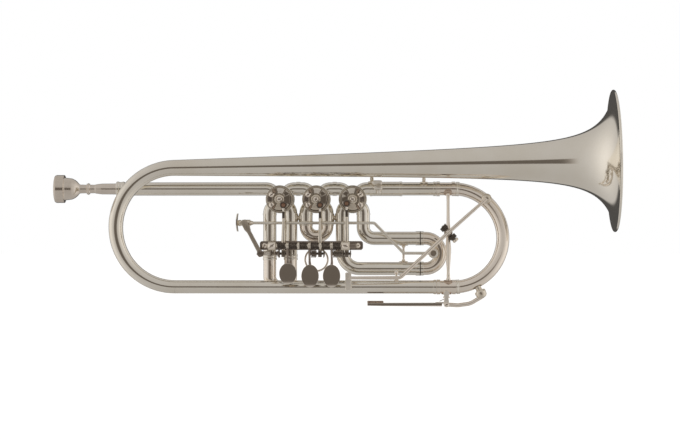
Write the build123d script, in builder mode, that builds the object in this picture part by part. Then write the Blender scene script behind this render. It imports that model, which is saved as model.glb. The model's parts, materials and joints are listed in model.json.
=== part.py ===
from build123d import *
import os
from math import asin, cos, degrees, exp, radians, sin, sqrt

# A German-pattern rotary-valve trumpet lying in the XZ plane: +X towards the bell, +Z up,
# -Y towards the player's fingers. Millimetres, origin near the centre of the bounding box.

# Places of the main lines. The bell loop lies in the plane y = 0, the valves behind it.
valve_y = 15.0
lead_z = 9.5
bottom_z = -85.8
port = 10.2
rotor_z = lead_z - port
valve_x = (-54.0, -18.5, 17.0)

# Tubing. An inner leg slides in its outer tube with 0.05 clearance.
bore = 5.5
inner_leg = 5.9
outer_bore = 5.95
outer_tube = 6.4
crook_tube = 6.25

# Rotary valves, built about an axis along Y.
casing_radius = 13.2
casing_front = 3.0
casing_back = 27.0
chamber = 9.8
rotor_radius = 9.75
rotor_front = 5.15
rotor_back = 24.9
spindle = 3.0
running = 0.05
plate_radius = 12.5
plate_front = 0.5
port_bend = 8.0
stub_end = 13.6

# Stop arm, link and lever: the ball stud turns 90 degrees on ball_arm and lifts the link.
ball_arm = 7.0
ball_angle = (-54.0, -54.0, -37.0)
valve_side = (1, 1, -1)
link_y = -5.3
link_bottom_z = -53.4
pin_rest_y = link_y - 0.8
crank_reach = 16.25
axle_y = pin_rest_y - crank_reach
axle_z = -45.7
axle_radius = 1.5
hub_x = (-45.2, -24.0, -2.7)
paddle_z = (-72.3, -73.6, -73.6)
paddle_y = axle_y - 4.6
crank_pin = 1.2

# Slides
first_crook_z = -76.3
first_joint_z = -57.0
second_crook_z = -26.8
second_joint_z = -24.2
third_upper_z = -38.75
third_lower_z = -68.3
third_joint_x = 82.4
third_crook_x = 87.9
main_joint_x = 98.2
main_bow_x = 114.7
slide_gap = 0.4

# Bell, bell bow and bottom tube
bow_x = -155.5
bow_radius = 57.8
bell_tilt = 0.86
bell_length = 426.3
flare_length = 70.0
bell_wall = 0.55
bow_small = 6.4

# Trigger
rod_y = 6.0
rod_z = -23.8
rod_radius = 1.45
trigger_pivot = (-72.3, -53.4)
trigger_pin_x = -88.0

os.makedirs("parts", exist_ok=True)


def save(piece, name):
    """Labels one finished piece and writes its STEP file."""
    piece.part.label = name
    export_step(piece.part, f"parts/{name}.step")


def facing(x, y, z):
    """A plane through (x, y, z) whose normal points at the player, -Y, with X right and Z up."""
    return Plane(origin=(x, y, z), x_dir=(1, 0, 0), z_dir=(0, -1, 0))


def rod(start, end, radius, mode=Mode.ADD):
    """A round bar between two points, added to the open part."""
    start = Vector(*start)
    end = Vector(*end)
    with BuildSketch(Plane(origin=start, z_dir=end - start)) as section:
        Circle(radius)
    extrude(section.sketch, amount=(end - start).length, mode=mode)


def run(points, bend, radius, mode=Mode.ADD):
    """A round section swept along straight runs joined by bends, added to the open part."""
    with BuildLine() as route:
        FilletPolyline(*points, radius=bend)
    wire = route.wire()
    with BuildSketch(Plane(origin=wire @ 0, z_dir=wire % 0)) as section:
        Circle(radius)
    sweep(section.sketch, path=wire, mode=mode)


def u_turn(centre, across, forward, reach, radius, mode=Mode.ADD):
    """A round section along a leg, half a circle and the other leg, added to the open part.
    across is the vector from the centre to a leg, and forward is the unit vector to the bend."""
    centre = Vector(*centre)
    across = Vector(*across)
    forward = Vector(*forward)
    first = centre + across
    last = centre - across
    with BuildLine() as route:
        if reach > 0:
            Line(first - forward * reach, first)
        ThreePointArc(first, centre + forward * across.length, last)
        if reach > 0:
            Line(last, last - forward * reach)
    wire = route.wire()
    with BuildSketch(Plane(origin=wire @ 0, z_dir=wire % 0)) as section:
        Circle(radius)
    sweep(section.sketch, path=wire, mode=mode)


def polar(radius, angle):
    return (radius * cos(radians(angle)), radius * sin(radians(angle)))


def crescent(inner, outer, start, end):
    """A ring sector between two angles, as a face in the open sketch."""
    middle = (start + end) / 2
    with BuildLine() as outline:
        Line(polar(inner, start), polar(outer, start))
        ThreePointArc(polar(outer, start), polar(outer, middle), polar(outer, end))
        Line(polar(outer, end), polar(inner, end))
        ThreePointArc(polar(inner, end), polar(inner, middle), polar(inner, start))
    make_face(outline.edges())


# Mouthpiece: turned about the leadpipe's axis.
rim_x = -275.2
shank_entry_x = -214.4
shank_tip_x = -190.0
shank_entry = 5.40
shank_tip = 4.95
lead_axis = Axis((0, valve_y, lead_z), (1, 0, 0))
with BuildPart() as mouthpiece:
    with BuildSketch(facing(0, valve_y, lead_z)):
        with BuildLine():
            ThreePointArc((rim_x, 11.2), (rim_x + 0.8, 13.0), (rim_x + 2.6, 13.65))
            Polyline((rim_x + 2.6, 13.65), (-265.4, 13.65), (-264.3, 12.5), (-264.3, 10.6))
            ThreePointArc((-264.3, 10.6), (-256.0, 9.0), (-250.8, 4.9))
            Polyline((-250.8, 4.9), (-249.6, 4.3), (-243.9, 4.3))
            ThreePointArc((-243.9, 4.3), (-241.9, 5.7), (-239.9, 4.3))
            Polyline((-239.9, 4.3), (-238.0, 4.3), (-236.0, 4.8), (-229.0, 5.45))
            Polyline((-229.0, 5.45), (shank_entry_x, shank_entry), (shank_tip_x, shank_tip))
            Polyline((shank_tip_x, shank_tip), (shank_tip_x, 4.2), (-246.0, 1.85), (-251.0, 1.85))
            ThreePointArc((-251.0, 1.85), (-262.0, 7.2), (-272.8, 8.3))
            ThreePointArc((-272.8, 8.3), (rim_x + 0.5, 9.5), (rim_x, 11.2))
        make_face()
    revolve(axis=lead_axis)
save(mouthpiece, "mouthpiece")

# Receiver: a collar outside and a tapered sleeve inside the leadpipe's end.
collar_x = -214.6
lead_start_x = -206.8
sleeve_end_x = -186.0
taper_gap = 0.04
with BuildPart() as receiver:
    with BuildSketch(facing(0, valve_y, lead_z)):
        with BuildLine():
            Polyline(
                (collar_x, shank_entry + taper_gap),
                (collar_x, 6.7),
                (collar_x + 0.6, 7.2),
                (collar_x + 2.2, 7.2),
                (collar_x + 2.8, 6.8),
                (lead_start_x - 1.6, 6.8),
                (lead_start_x - 1.0, 7.1),
                (lead_start_x, 7.1),
                (lead_start_x, inner_leg),
                (sleeve_end_x, inner_leg),
                (sleeve_end_x, shank_tip + taper_gap),
                (shank_tip_x, shank_tip + taper_gap),
                close=True,
            )
        make_face()
    revolve(axis=lead_axis)
save(receiver, "receiver")

lead_end_x = valve_x[0] - stub_end
with BuildPart() as leadpipe:
    rod((lead_start_x, valve_y, lead_z), (lead_end_x, valve_y, lead_z), 6.45)
    rod((lead_start_x, valve_y, lead_z), (sleeve_end_x, valve_y, lead_z), outer_bore, Mode.SUBTRACT)
    rod((sleeve_end_x, valve_y, lead_z), (lead_end_x, valve_y, lead_z), bore, Mode.SUBTRACT)
save(leadpipe, "leadpipe")


def port_route(x, side_x, side_z, start):
    """The centre line of one port: out of the chamber at 45 degrees, then level or straight down."""
    diagonal = start / sqrt(2)
    first = (x + side_x * diagonal, valve_y, rotor_z + side_z * diagonal)
    corner = (x + side_x * port, valve_y, rotor_z + side_z * port)
    if side_z > 0:
        last = (x + side_x * stub_end, valve_y, rotor_z + port)
    else:
        last = (x + side_x * port, valve_y, rotor_z - stub_end)
    return (first, corner, last)


def make_casing(number, x):
    with BuildPart() as casing:
        rod((x, casing_front, rotor_z), (x, casing_back, rotor_z), casing_radius)
        for side_x in (-1, 1):
            for side_z in (-1, 1):
                run(port_route(x, side_x, side_z, chamber - 1.5), port_bend, outer_tube)
        rod((x, casing_front, rotor_z), (x, casing_back, rotor_z), chamber, Mode.SUBTRACT)
        for side_x in (-1, 1):
            for side_z in (-1, 1):
                run(port_route(x, side_x, side_z, chamber - 3.0), port_bend, bore, Mode.SUBTRACT)
    save(casing, f"valve_casing_{number}")


# Rotor: a cylinder with two air passages, each a bent hole between neighbouring ports.
passage = 4.1
passage_centre = 15.0
passage_bend = sqrt((chamber / sqrt(2)) ** 2 + (passage_centre - chamber / sqrt(2)) ** 2)
spindle_front = -2.6
spindle_back = 28.8
middle_y = (casing_front + casing_back) / 2


def make_rotor(number, x):
    with BuildPart() as rotor:
        rod((x, rotor_front, rotor_z), (x, rotor_back, rotor_z), rotor_radius)
        rod((x, spindle_front, rotor_z), (x, spindle_back, rotor_z), spindle)
        with Locations((x, middle_y, rotor_z + passage_centre), (x, middle_y, rotor_z - passage_centre)):
            Torus(passage_bend, passage, rotation=(90, 0, 0), mode=Mode.SUBTRACT)
    save(rotor, f"rotor_{number}")


# Stop plate: front bearing with a spigot in the casing, a raised edge and the cork holder.
# Angles are counted from +X towards +Z as the player sees them, and mirrored on valve 3.
spigot_radius = 9.72
cork_faces = (118.0, 242.0)
cork_width = 10.0
screw_angles = (152.0, 208.0)
screw_circle = 8.8
holder_top = 0.9


def mirrored(angle, side):
    return angle if side > 0 else 180.0 - angle


def make_stop_plate(number, x, side):
    low, high = sorted((mirrored(cork_faces[0] + cork_width, side), mirrored(cork_faces[1] - cork_width, side)))
    with BuildPart() as plate:
        rod((x, plate_front, rotor_z), (x, casing_front, rotor_z), plate_radius)
        rod((x, casing_front, rotor_z), (x, rotor_front - running, rotor_z), spigot_radius)
        with BuildSketch(facing(x, plate_front, rotor_z)) as edge:
            Circle(plate_radius)
            Circle(plate_radius - 0.9, mode=Mode.SUBTRACT)
        extrude(edge.sketch, amount=holder_top)
        with BuildSketch(facing(x, plate_front, rotor_z)) as holder:
            crescent(6.4, plate_radius - 0.9, low, high)
        extrude(holder.sketch, amount=holder_top)
        rod((x, -5, rotor_z), (x, 8, rotor_z), spindle + running, Mode.SUBTRACT)
        for angle in screw_angles:
            across, up = polar(screw_circle, mirrored(angle, side))
            rod((x + across, -5, rotor_z + up), (x + across, 2.2, rotor_z + up), 0.8, Mode.SUBTRACT)
    save(plate, f"stop_plate_{number}")


# Stop arm: hub on the spindle, a sector that meets the corks, and the ball stud.
sector_start = -117.5
sector_end = 27.5
sector_radius = 10.8
arm_back = -1.0
arm_front = -3.0
hub_back = -0.6
hub_front = -3.6


def make_stop_arm(number, x, side, angle):
    low, high = sorted((mirrored(sector_start, side), mirrored(sector_end, side)))
    across, up = polar(ball_arm, mirrored(angle, side))
    with BuildPart() as arm:
        rod((x, hub_back, rotor_z), (x, hub_front, rotor_z), 4.6)
        with BuildSketch(facing(x, arm_back, rotor_z)) as sector:
            crescent(3.4, sector_radius, low, high)
        extrude(sector.sketch, amount=arm_back - arm_front)
        rod((x, 0.5, rotor_z), (x, spindle_front, rotor_z), spindle, Mode.SUBTRACT)
        rod((x, hub_front, rotor_z), (x, hub_front - 0.6, rotor_z), 2.2)
        with BuildSketch(facing(x, hub_front - 0.6, rotor_z)) as slot:
            Rectangle(4.4, 0.6)
        extrude(slot.sketch, amount=-0.4, mode=Mode.SUBTRACT)
        rod((x + across, arm_front, rotor_z + up), (x + across, link_y, rotor_z + up), 1.2)
        with Locations((x + across, link_y, rotor_z + up)):
            Sphere(2.2)
    save(arm, f"stop_arm_{number}")


# Link: upper eye on the ball stud, dark adjuster sleeve, rod, and a slotted lower eye.
# The slot lets the lever's crank pin travel in Y, and the pin is longer than the eye is wide.
def make_link(number, x, side, angle):
    across, up = polar(ball_arm, mirrored(angle, side))
    eye_x = x + across
    eye_z = rotor_z + up
    with BuildPart() as link:
        rod((eye_x, link_y + 1.3, eye_z), (eye_x, link_y - 1.3, eye_z), 3.4)
        rod((eye_x, link_y, eye_z - 2.8), (eye_x, link_y, link_bottom_z + 3.0), 1.3)
        with BuildSketch(Plane.XY.offset(eye_z - 13.2)) as sleeve:
            with Locations((eye_x, link_y)):
                RegularPolygon(1.9, 6)
        extrude(sleeve.sketch, amount=7.4)
        with Locations((eye_x, link_y, link_bottom_z)):
            Box(3.4, 8.4, 6.8)
        fillet(link.edges().filter_by(Axis.X).group_by(Axis.Z)[0], 2.0)
        rod((eye_x, link_y + 2, eye_z), (eye_x, link_y - 2, eye_z), 2.3, Mode.SUBTRACT)
        with BuildSketch(Plane(origin=(eye_x - 2, link_y, link_bottom_z), x_dir=(0, 1, 0), z_dir=(1, 0, 0))) as slot:
            SlotOverall(6.0, 4.2)
        extrude(slot.sketch, amount=4, mode=Mode.SUBTRACT)
    save(link, f"link_{number}")


for index, x in enumerate(valve_x):
    make_casing(index + 1, x)
    make_rotor(index + 1, x)
    make_stop_plate(index + 1, x, valve_side[index])
    make_stop_arm(index + 1, x, valve_side[index], ball_angle[index])
    make_link(index + 1, x, valve_side[index], ball_angle[index])

with BuildPart() as corks:
    for x, side in zip(valve_x, valve_side):
        for face, step in ((cork_faces[0], cork_width), (cork_faces[1], -cork_width)):
            low, high = sorted((mirrored(face, side), mirrored(face + step, side)))
            with BuildSketch(facing(x, plate_front, rotor_z)) as block:
                crescent(7.6, plate_radius - 0.95, low, high)
            extrude(block.sketch, amount=plate_front + 3.1)
save(corks, "corks")

# Rear bearing discs and screw-on rear caps
cap_depth = 4.0
with BuildPart() as rear_bearings:
    for x in valve_x:
        rod((x, rotor_back + running, rotor_z), (x, casing_back, rotor_z), spigot_radius)
    for x in valve_x:
        rod((x, 20, rotor_z), (x, 30, rotor_z), spindle + running, Mode.SUBTRACT)
save(rear_bearings, "rear_bearings")

with BuildPart() as valve_caps:
    for x in valve_x:
        rod((x, casing_back, rotor_z), (x, casing_back + cap_depth, rotor_z), casing_radius + 0.1)
    fillet(valve_caps.edges().group_by(Axis.Y)[-1], 1.4)
    for x in valve_x:
        rod((x, casing_back, rotor_z), (x, casing_back + 2.4, rotor_z), 4.2, Mode.SUBTRACT)
        rod((x, casing_back + cap_depth - 0.6, rotor_z), (x, casing_back + 6, rotor_z), 8.0, Mode.SUBTRACT)
save(valve_caps, "valve_caps")

# Knuckles: short tubes with a ferrule between neighbouring casings
with BuildPart() as knuckles:
    for left, right in zip(valve_x, valve_x[1:]):
        start = left + stub_end
        end = right - stub_end
        rod((start, valve_y, lead_z), (end, valve_y, lead_z), outer_tube)
        rod((start + 2.2, valve_y, lead_z), (end - 2.2, valve_y, lead_z), outer_tube + 0.45)
    for left, right in zip(valve_x, valve_x[1:]):
        rod((left, valve_y, lead_z), (right, valve_y, lead_z), bore, Mode.SUBTRACT)
save(knuckles, "knuckles")


def leg_pair(name, x, end_z):
    """The two outer tubes of a slide, straight down from a casing's lower ports."""
    top = rotor_z - stub_end
    with BuildPart() as legs:
        for side in (-1, 1):
            leg_x = x + side * port
            rod((leg_x, valve_y, top), (leg_x, valve_y, end_z), outer_tube)
            rod((leg_x, valve_y, top), (leg_x, valve_y, top - 1.6), outer_tube + 0.35)
        for side in (-1, 1):
            leg_x = x + side * port
            rod((leg_x, valve_y, top), (leg_x, valve_y, end_z), outer_bore, Mode.SUBTRACT)
    save(legs, name)


leg_pair("first_outer_legs", valve_x[0], first_joint_z)
leg_pair("second_outer_legs", valve_x[1], second_joint_z)

# Third slide's outer tubes: down from valve 3, then a bend towards the bell
third_right_x = valve_x[2] + port
third_left_x = valve_x[2] - port
third_top = rotor_z - stub_end


def third_outer(name, x, z, bend):
    corner = (x, valve_y, z)
    route = ((x, valve_y, third_top), corner, (third_joint_x, valve_y, z))
    with BuildPart() as tube:
        run(route, bend, outer_tube)
        rod((x, valve_y, third_top), (x, valve_y, third_top - 1.6), outer_tube + 0.35)
        rod((third_joint_x - 3.5, valve_y, z), (third_joint_x, valve_y, z), outer_tube + 0.3)
        run(route, bend, outer_bore, Mode.SUBTRACT)
    save(tube, name)


third_outer("third_outer_upper", third_right_x, third_upper_z, 10.8)
third_outer("third_outer_lower", third_left_x, third_lower_z, 16.5)

# Main slide's upper outer tube, with a sleeve near valve 3
main_start_x = valve_x[2] + stub_end
with BuildPart() as main_outer_upper:
    rod((main_start_x, valve_y, lead_z), (main_joint_x, valve_y, lead_z), outer_tube)
    rod((main_start_x + 3.0, valve_y, lead_z), (64.8, valve_y, lead_z), outer_tube + 0.5)
    rod((main_start_x, valve_y, lead_z), (main_joint_x, valve_y, lead_z), outer_bore, Mode.SUBTRACT)
save(main_outer_upper, "main_outer_upper")

# Bottom tube, with the rest post that the vent key is pressed down to
rest_x = 59.5
with BuildPart() as bottom_tube:
    rod((bow_x, 0, bottom_z), (main_joint_x, 0, bottom_z), outer_tube)
    rod((rest_x, 0, bottom_z), (rest_x, 0, -71.6), 1.2)
    with Locations((rest_x, 0, -71.0)):
        Sphere(1.9)
    rod((bow_x, 0, bottom_z), (50, 0, bottom_z), bore, Mode.SUBTRACT)
    rod((50, 0, bottom_z), (main_joint_x, 0, bottom_z), outer_bore, Mode.SUBTRACT)
save(bottom_tube, "bottom_tube")


# Bell: the outer radius falls off with the distance from the mouth along the axis.
def bell_radius(distance):
    return 14.65 - 0.01813 * distance + 2866.9 / (distance + 20.4) ** 1.358 + 5.6 * exp(-distance / 1.4)


def bell_slope(distance):
    return -0.01813 - 1.358 * 2866.9 / (distance + 20.4) ** 2.358 - 4.0 * exp(-distance / 1.4)


bow_centre_z = bottom_z + bow_radius
tilt = radians(bell_tilt)
bell_start = (bow_x - bow_radius * sin(tilt), bow_centre_z + bow_radius * cos(tilt))
bell_plane = Plane(
    origin=(bell_start[0], 0, bell_start[1]),
    x_dir=(cos(tilt), 0, sin(tilt)),
    z_dir=(sin(tilt), 0, -cos(tilt)),
)
bell_axis = Axis((bell_start[0], 0, bell_start[1]), (cos(tilt), 0, sin(tilt)))
profile_plane = Plane(
    origin=(bell_start[0], 0, bell_start[1]),
    x_dir=(cos(tilt), 0, sin(tilt)),
    z_dir=(0, -1, 0),
)
flare_distances = (0, 0.7, 1.6, 2.8, 4.6, 7.5, 12, 19, 30, 46, flare_length)
stem_distances = (flare_length, 100, 150, 215, 290, 365, bell_length)
bell_large = bell_radius(bell_length)
rim_bead = 1.25


def bell_outline(distances, offset):
    """Points of the bell's wall at distances from the mouth, moved inwards by offset."""
    points = []
    for distance in distances:
        slope = bell_slope(distance)
        length = sqrt(1 + slope * slope)
        along = bell_length - distance + offset * -slope / length
        points.append((along, bell_radius(distance) - offset / length))
    return points


def bell_part(distances, rim):
    """One length of the bell, as a thin turned wall, with the rolled rim if asked for."""
    outer = bell_outline(distances, 0)
    inner = bell_outline(distances, bell_wall)
    inner[-1] = (outer[-1][0], inner[-1][1])
    if not rim:
        inner[0] = (outer[0][0], inner[0][1])
    with BuildPart() as wall:
        with BuildSketch(profile_plane):
            with BuildLine():
                Spline(*outer)
                Line(outer[-1], inner[-1])
                Spline(*reversed(inner))
                Line(inner[0], outer[0])
            make_face()
        revolve(axis=bell_axis)
        if rim:
            with BuildSketch(profile_plane):
                with Locations((bell_length, bell_radius(0) - 0.4)):
                    Circle(rim_bead)
            revolve(axis=bell_axis)
    return wall


# The bell is made in two lengths that meet at the start of the flare.
save(bell_part(flare_distances, True), "bell_flare")
save(bell_part(stem_distances, False), "bell_stem")

# Bell bow: half a turn that widens from the bottom tube to the bell
with BuildPart() as bell_bow:
    with BuildLine() as turn:
        ThreePointArc(
            (bow_x, 0, bottom_z),
            (bow_x - bow_radius, 0, bow_centre_z),
            (bell_start[0], 0, bell_start[1]),
        )
    arc = turn.wire()
    for wall, mode in ((0, Mode.ADD), (bell_wall, Mode.SUBTRACT)):
        with BuildSketch(Plane(origin=arc @ 0, z_dir=arc % 0)) as narrow:
            Circle(bow_small - wall)
        with BuildSketch(Plane(origin=arc @ 1, z_dir=arc % 1)) as wide:
            Circle(bell_large - wall)
        sweep([narrow.sketch, wide.sketch], path=arc, multisection=True, mode=mode)
save(bell_bow, "bell_bow")

# Valve slides
engaged_first = 27.0
with BuildPart() as first_slide:
    centre = (valve_x[0], valve_y, first_crook_z)
    straight = first_joint_z - first_crook_z
    u_turn(centre, (port, 0, 0), (0, 0, -1), straight + engaged_first, inner_leg)
    u_turn(centre, (port, 0, 0), (0, 0, -1), straight - slide_gap, crook_tube)
    for side in (-1, 1):
        leg_x = valve_x[0] + side * port
        top = first_joint_z - slide_gap
        rod((leg_x, valve_y, top), (leg_x, valve_y, top - 2.4), outer_tube + 0.3)
    u_turn(centre, (port, 0, 0), (0, 0, -1), straight + engaged_first, bore, Mode.SUBTRACT)
save(first_slide, "first_slide")

engaged_second = 9.4
ring_radius = 11.0
ring_wire = 0.95
ring_z = -59.7
with BuildPart() as second_slide:
    centre = (valve_x[1], valve_y, second_crook_z)
    straight = second_joint_z - second_crook_z
    u_turn(centre, (port, 0, 0), (0, 0, -1), straight + engaged_second, inner_leg)
    u_turn(centre, (port, 0, 0), (0, 0, -1), straight - slide_gap, crook_tube)
    rod((valve_x[1], valve_y, second_crook_z - port - 5.8), (valve_x[1], valve_y, ring_z + ring_radius), 1.5)
    with Locations((valve_x[1], valve_y, ring_z)):
        Torus(ring_radius, ring_wire, rotation=(90, 0, 0))
    u_turn(centre, (port, 0, 0), (0, 0, -1), straight + engaged_second, bore, Mode.SUBTRACT)
save(second_slide, "second_slide")

engaged_third = 30.0
third_mid_z = (third_upper_z + third_lower_z) / 2
third_half = (third_upper_z - third_lower_z) / 2
boss_x = 95.5
boss_z = -53.2
with BuildPart() as third_slide:
    centre = (third_crook_x, valve_y, third_mid_z)
    straight = third_crook_x - third_joint_x
    u_turn(centre, (0, 0, third_half), (1, 0, 0), straight + engaged_third, inner_leg)
    u_turn(centre, (0, 0, third_half), (1, 0, 0), straight - slide_gap, crook_tube)
    rod((boss_x, 17.0, boss_z), (boss_x, rod_y + 1.4, boss_z), 2.8)
    rod((boss_x, rod_y + 1.4, boss_z), (boss_x, rod_y - 1.3, boss_z), 2.0)
    rod((boss_x, rod_y - 1.3, boss_z), (boss_x, rod_y - 2.0, boss_z), 2.9)
    u_turn(centre, (0, 0, third_half), (1, 0, 0), straight + engaged_third, bore, Mode.SUBTRACT)
save(third_slide, "third_slide")

# Trigger rod: thumb saddle, barrel, rod bent down to the third slide, and an eye on its boss
saddle_x = -94.2
saddle_height = 17.6
saddle_width = 11.0
barrel_start_x = -93.4
barrel_end_x = -80.7
barrel_radius = 3.3
pin_radius = 1.3
with BuildPart() as trigger_rod:
    with BuildSketch(Plane.YZ.offset(saddle_x - 0.85)) as saddle:
        with Locations((rod_y, rod_z + 0.5)):
            RectangleRounded(saddle_width, saddle_height, 4.0)
    extrude(saddle.sketch, amount=1.7)
    rod((barrel_start_x, rod_y, rod_z), (barrel_end_x, rod_y, rod_z), barrel_radius)
    fillet(trigger_rod.edges().group_by(Axis.X)[-1], 1.6)
    run(
        (
            (barrel_end_x - 2, rod_y, rod_z),
            (38.1, rod_y, rod_z),
            (66.8, rod_y, boss_z),
            (boss_x - 3.6, rod_y, boss_z),
        ),
        4.0,
        rod_radius,
    )
    rod((boss_x, rod_y - 1.3, boss_z), (boss_x, rod_y + 1.3, boss_z), 4.7)
    rod((trigger_pin_x, rod_y, rod_z), (trigger_pin_x, -2.2, rod_z), pin_radius)
    rod((trigger_pin_x, -2.2, rod_z), (trigger_pin_x, -3.0, rod_z), 2.5)
    rod((boss_x, 0, boss_z), (boss_x, 12, boss_z), 2.0, Mode.SUBTRACT)
save(trigger_rod, "trigger_rod")

# Trigger arm: swings on the first slide's bracket and guides the saddle with a slotted end.
pivot_x, pivot_z = trigger_pivot
arm_far = sqrt((trigger_pin_x - pivot_x) ** 2 + (rod_z - pivot_z) ** 2)
arm_near = rod_z - pivot_z
arm_lean = degrees(asin((pivot_x - trigger_pin_x) / arm_far))
arm_angle = 90.0 + arm_lean
slot_side = pin_radius + 0.65
arm_across, arm_up = polar(1, arm_angle)
arm_plane = Plane(origin=(pivot_x, 0.2, pivot_z), x_dir=(arm_across, 0, arm_up), z_dir=(0, -1, 0))
with BuildPart() as trigger_arm:
    with BuildSketch(arm_plane):
        with Locations(((arm_near + arm_far) / 2 - 0.2, 0)):
            SlotOverall(arm_far - arm_near + 2 * slot_side + 3.4, 2 * slot_side + 2.0)
        with Locations(((arm_near - 1) / 2, 0)):
            Rectangle(arm_near - 1, 3.8)
        Circle(3.2)
        with Locations(((arm_near + arm_far) / 2 - 0.2, 0)):
            SlotOverall(arm_far - arm_near + 2 * slot_side + 1.0, 2 * slot_side, mode=Mode.SUBTRACT)
        Circle(1.55, mode=Mode.SUBTRACT)
    extrude(amount=2.0)
save(trigger_arm, "trigger_arm")

leg_one_x = valve_x[0] - port
with BuildPart() as trigger_bracket:
    with Locations(((pivot_x + leg_one_x) / 2 - 0.6, 7.3, pivot_z)):
        Box(leg_one_x - pivot_x + 3.4, 3.4, 4.2)
    rod((leg_one_x, valve_y, pivot_z - 5), (leg_one_x, valve_y, pivot_z + 5), outer_tube, Mode.SUBTRACT)
    rod((pivot_x, 6.0, pivot_z), (pivot_x, 0.35, pivot_z), 2.4)
    rod((pivot_x, 0.5, pivot_z), (pivot_x, -2.0, pivot_z), 1.5)
    with BuildSketch(facing(pivot_x, -2.0, pivot_z)) as head:
        RegularPolygon(3.4, 6)
    extrude(head.sketch, amount=1.2)
save(trigger_bracket, "trigger_bracket")

# Hinge: a plate on two feet, two posts, the axle, collars and coil springs
plate_y = 3.0
plate_thick = 2.2
plate_left = -73.2
plate_right = 27.1
plate_height = 8.6
post_left_x = -60.0
post_right_x = 18.4
hinge_screw_x = (-68.6, 22.7)
head_back = axle_y + 4.0
head_front = axle_y - 3.4
with BuildPart() as hinge_plate:
    with BuildSketch(facing((plate_left + plate_right) / 2, plate_y + plate_thick, axle_z)):
        SlotOverall(plate_right - plate_left, plate_height)
    extrude(amount=plate_thick)
    for foot_x in (leg_one_x, third_left_x):
        with Locations((foot_x, plate_y + plate_thick + 2.2, axle_z)):
            Box(7.0, 4.4, 5.0)
        rod((foot_x, valve_y, axle_z - 5), (foot_x, valve_y, axle_z + 5), outer_tube, Mode.SUBTRACT)
    for screw_x in hinge_screw_x:
        rod((screw_x, 0, axle_z), (screw_x, 9, axle_z), 1.0, Mode.SUBTRACT)
save(hinge_plate, "hinge_plate")

# The small screws: two in the hinge plate, and two in each cork holder
with BuildPart() as small_screws:
    for screw_x in hinge_screw_x:
        rod((screw_x, plate_y, axle_z), (screw_x, plate_y - 1.1, axle_z), 1.9)
        rod((screw_x, plate_y, axle_z), (screw_x, plate_y + plate_thick, axle_z), 1.0)
    for x, side in zip(valve_x, valve_side):
        for angle in screw_angles:
            across, up = polar(screw_circle, mirrored(angle, side))
            top = plate_front - holder_top
            rod((x + across, top, rotor_z + up), (x + across, top - 0.9, rotor_z + up), 1.5)
            rod((x + across, top, rotor_z + up), (x + across, 2.2, rotor_z + up), 0.8)
save(small_screws, "small_screws")

with BuildPart() as hinge_post_left:
    rod((post_left_x, plate_y, axle_z), (post_left_x, head_back, axle_z), 2.9)
    rod((post_left_x, plate_y, axle_z), (post_left_x, plate_y - 1.4, axle_z), 3.6)
    with Locations((post_left_x, (head_back + head_front) / 2, axle_z)):
        Box(6.8, head_back - head_front, 8.4)
    fillet(hinge_post_left.edges().filter_by(Axis.X), 1.8)
    rod((post_left_x - 9, axle_y, axle_z), (post_left_x + 9, axle_y, axle_z), axle_radius, Mode.SUBTRACT)
save(hinge_post_left, "hinge_post_left")

right_head_start = 7.0
right_head_end = post_right_x + 2.4
with BuildPart() as hinge_post_right:
    rod((post_right_x, plate_y, axle_z), (post_right_x, head_back, axle_z), 1.95)
    with Locations(((right_head_start + right_head_end) / 2, (head_back + head_front) / 2, axle_z)):
        Box(right_head_end - right_head_start, head_back - head_front, 8.0)
    fillet(hinge_post_right.edges().filter_by(Axis.X), 1.8)
    rod((right_head_start - 2, axle_y, axle_z), (right_head_end + 2, axle_y, axle_z), axle_radius, Mode.SUBTRACT)
save(hinge_post_right, "hinge_post_right")

axle_left_x = post_left_x - 4.6
axle_right_x = right_head_end + 1.2
with BuildPart() as lever_axle:
    rod((axle_left_x, axle_y, axle_z), (axle_right_x, axle_y, axle_z), axle_radius)
    rod((axle_left_x, axle_y, axle_z), (axle_left_x + 1.2, axle_y, axle_z), 2.3)
save(lever_axle, "lever_axle")

collar_x_positions = (-34.5, -13.4)
with BuildPart() as axle_collars:
    for x in collar_x_positions:
        rod((x - 1.0, axle_y, axle_z), (x + 1.0, axle_y, axle_z), 3.2)
    for x in collar_x_positions:
        rod((x - 2.0, axle_y, axle_z), (x + 2.0, axle_y, axle_z), axle_radius, Mode.SUBTRACT)
save(axle_collars, "axle_collars")

# Each spring is a close-wound coil: a ring of wire for each turn, joined to the next.
spring_turns = 6
spring_wire = 0.62
spring_radius = 2.75
spring_pitch = 1.12
spring_middles = (-50.9, -39.9, -29.8, -18.8, -8.0, 2.3)
with BuildPart() as lever_springs:
    for middle in spring_middles:
        first = middle - spring_pitch * (spring_turns - 1) / 2
        places = [(first + spring_pitch * turn, axle_y, axle_z) for turn in range(spring_turns)]
        with Locations(*places):
            Torus(spring_radius, spring_wire, rotation=(0, 90, 0))
save(lever_springs, "lever_springs")


# Finger levers: hub on the axle, paddle arm down, crank back to the link's pin
pin_reach = (-10.6, 14.4, 18.6)
collar_gap = 3.25


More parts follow.
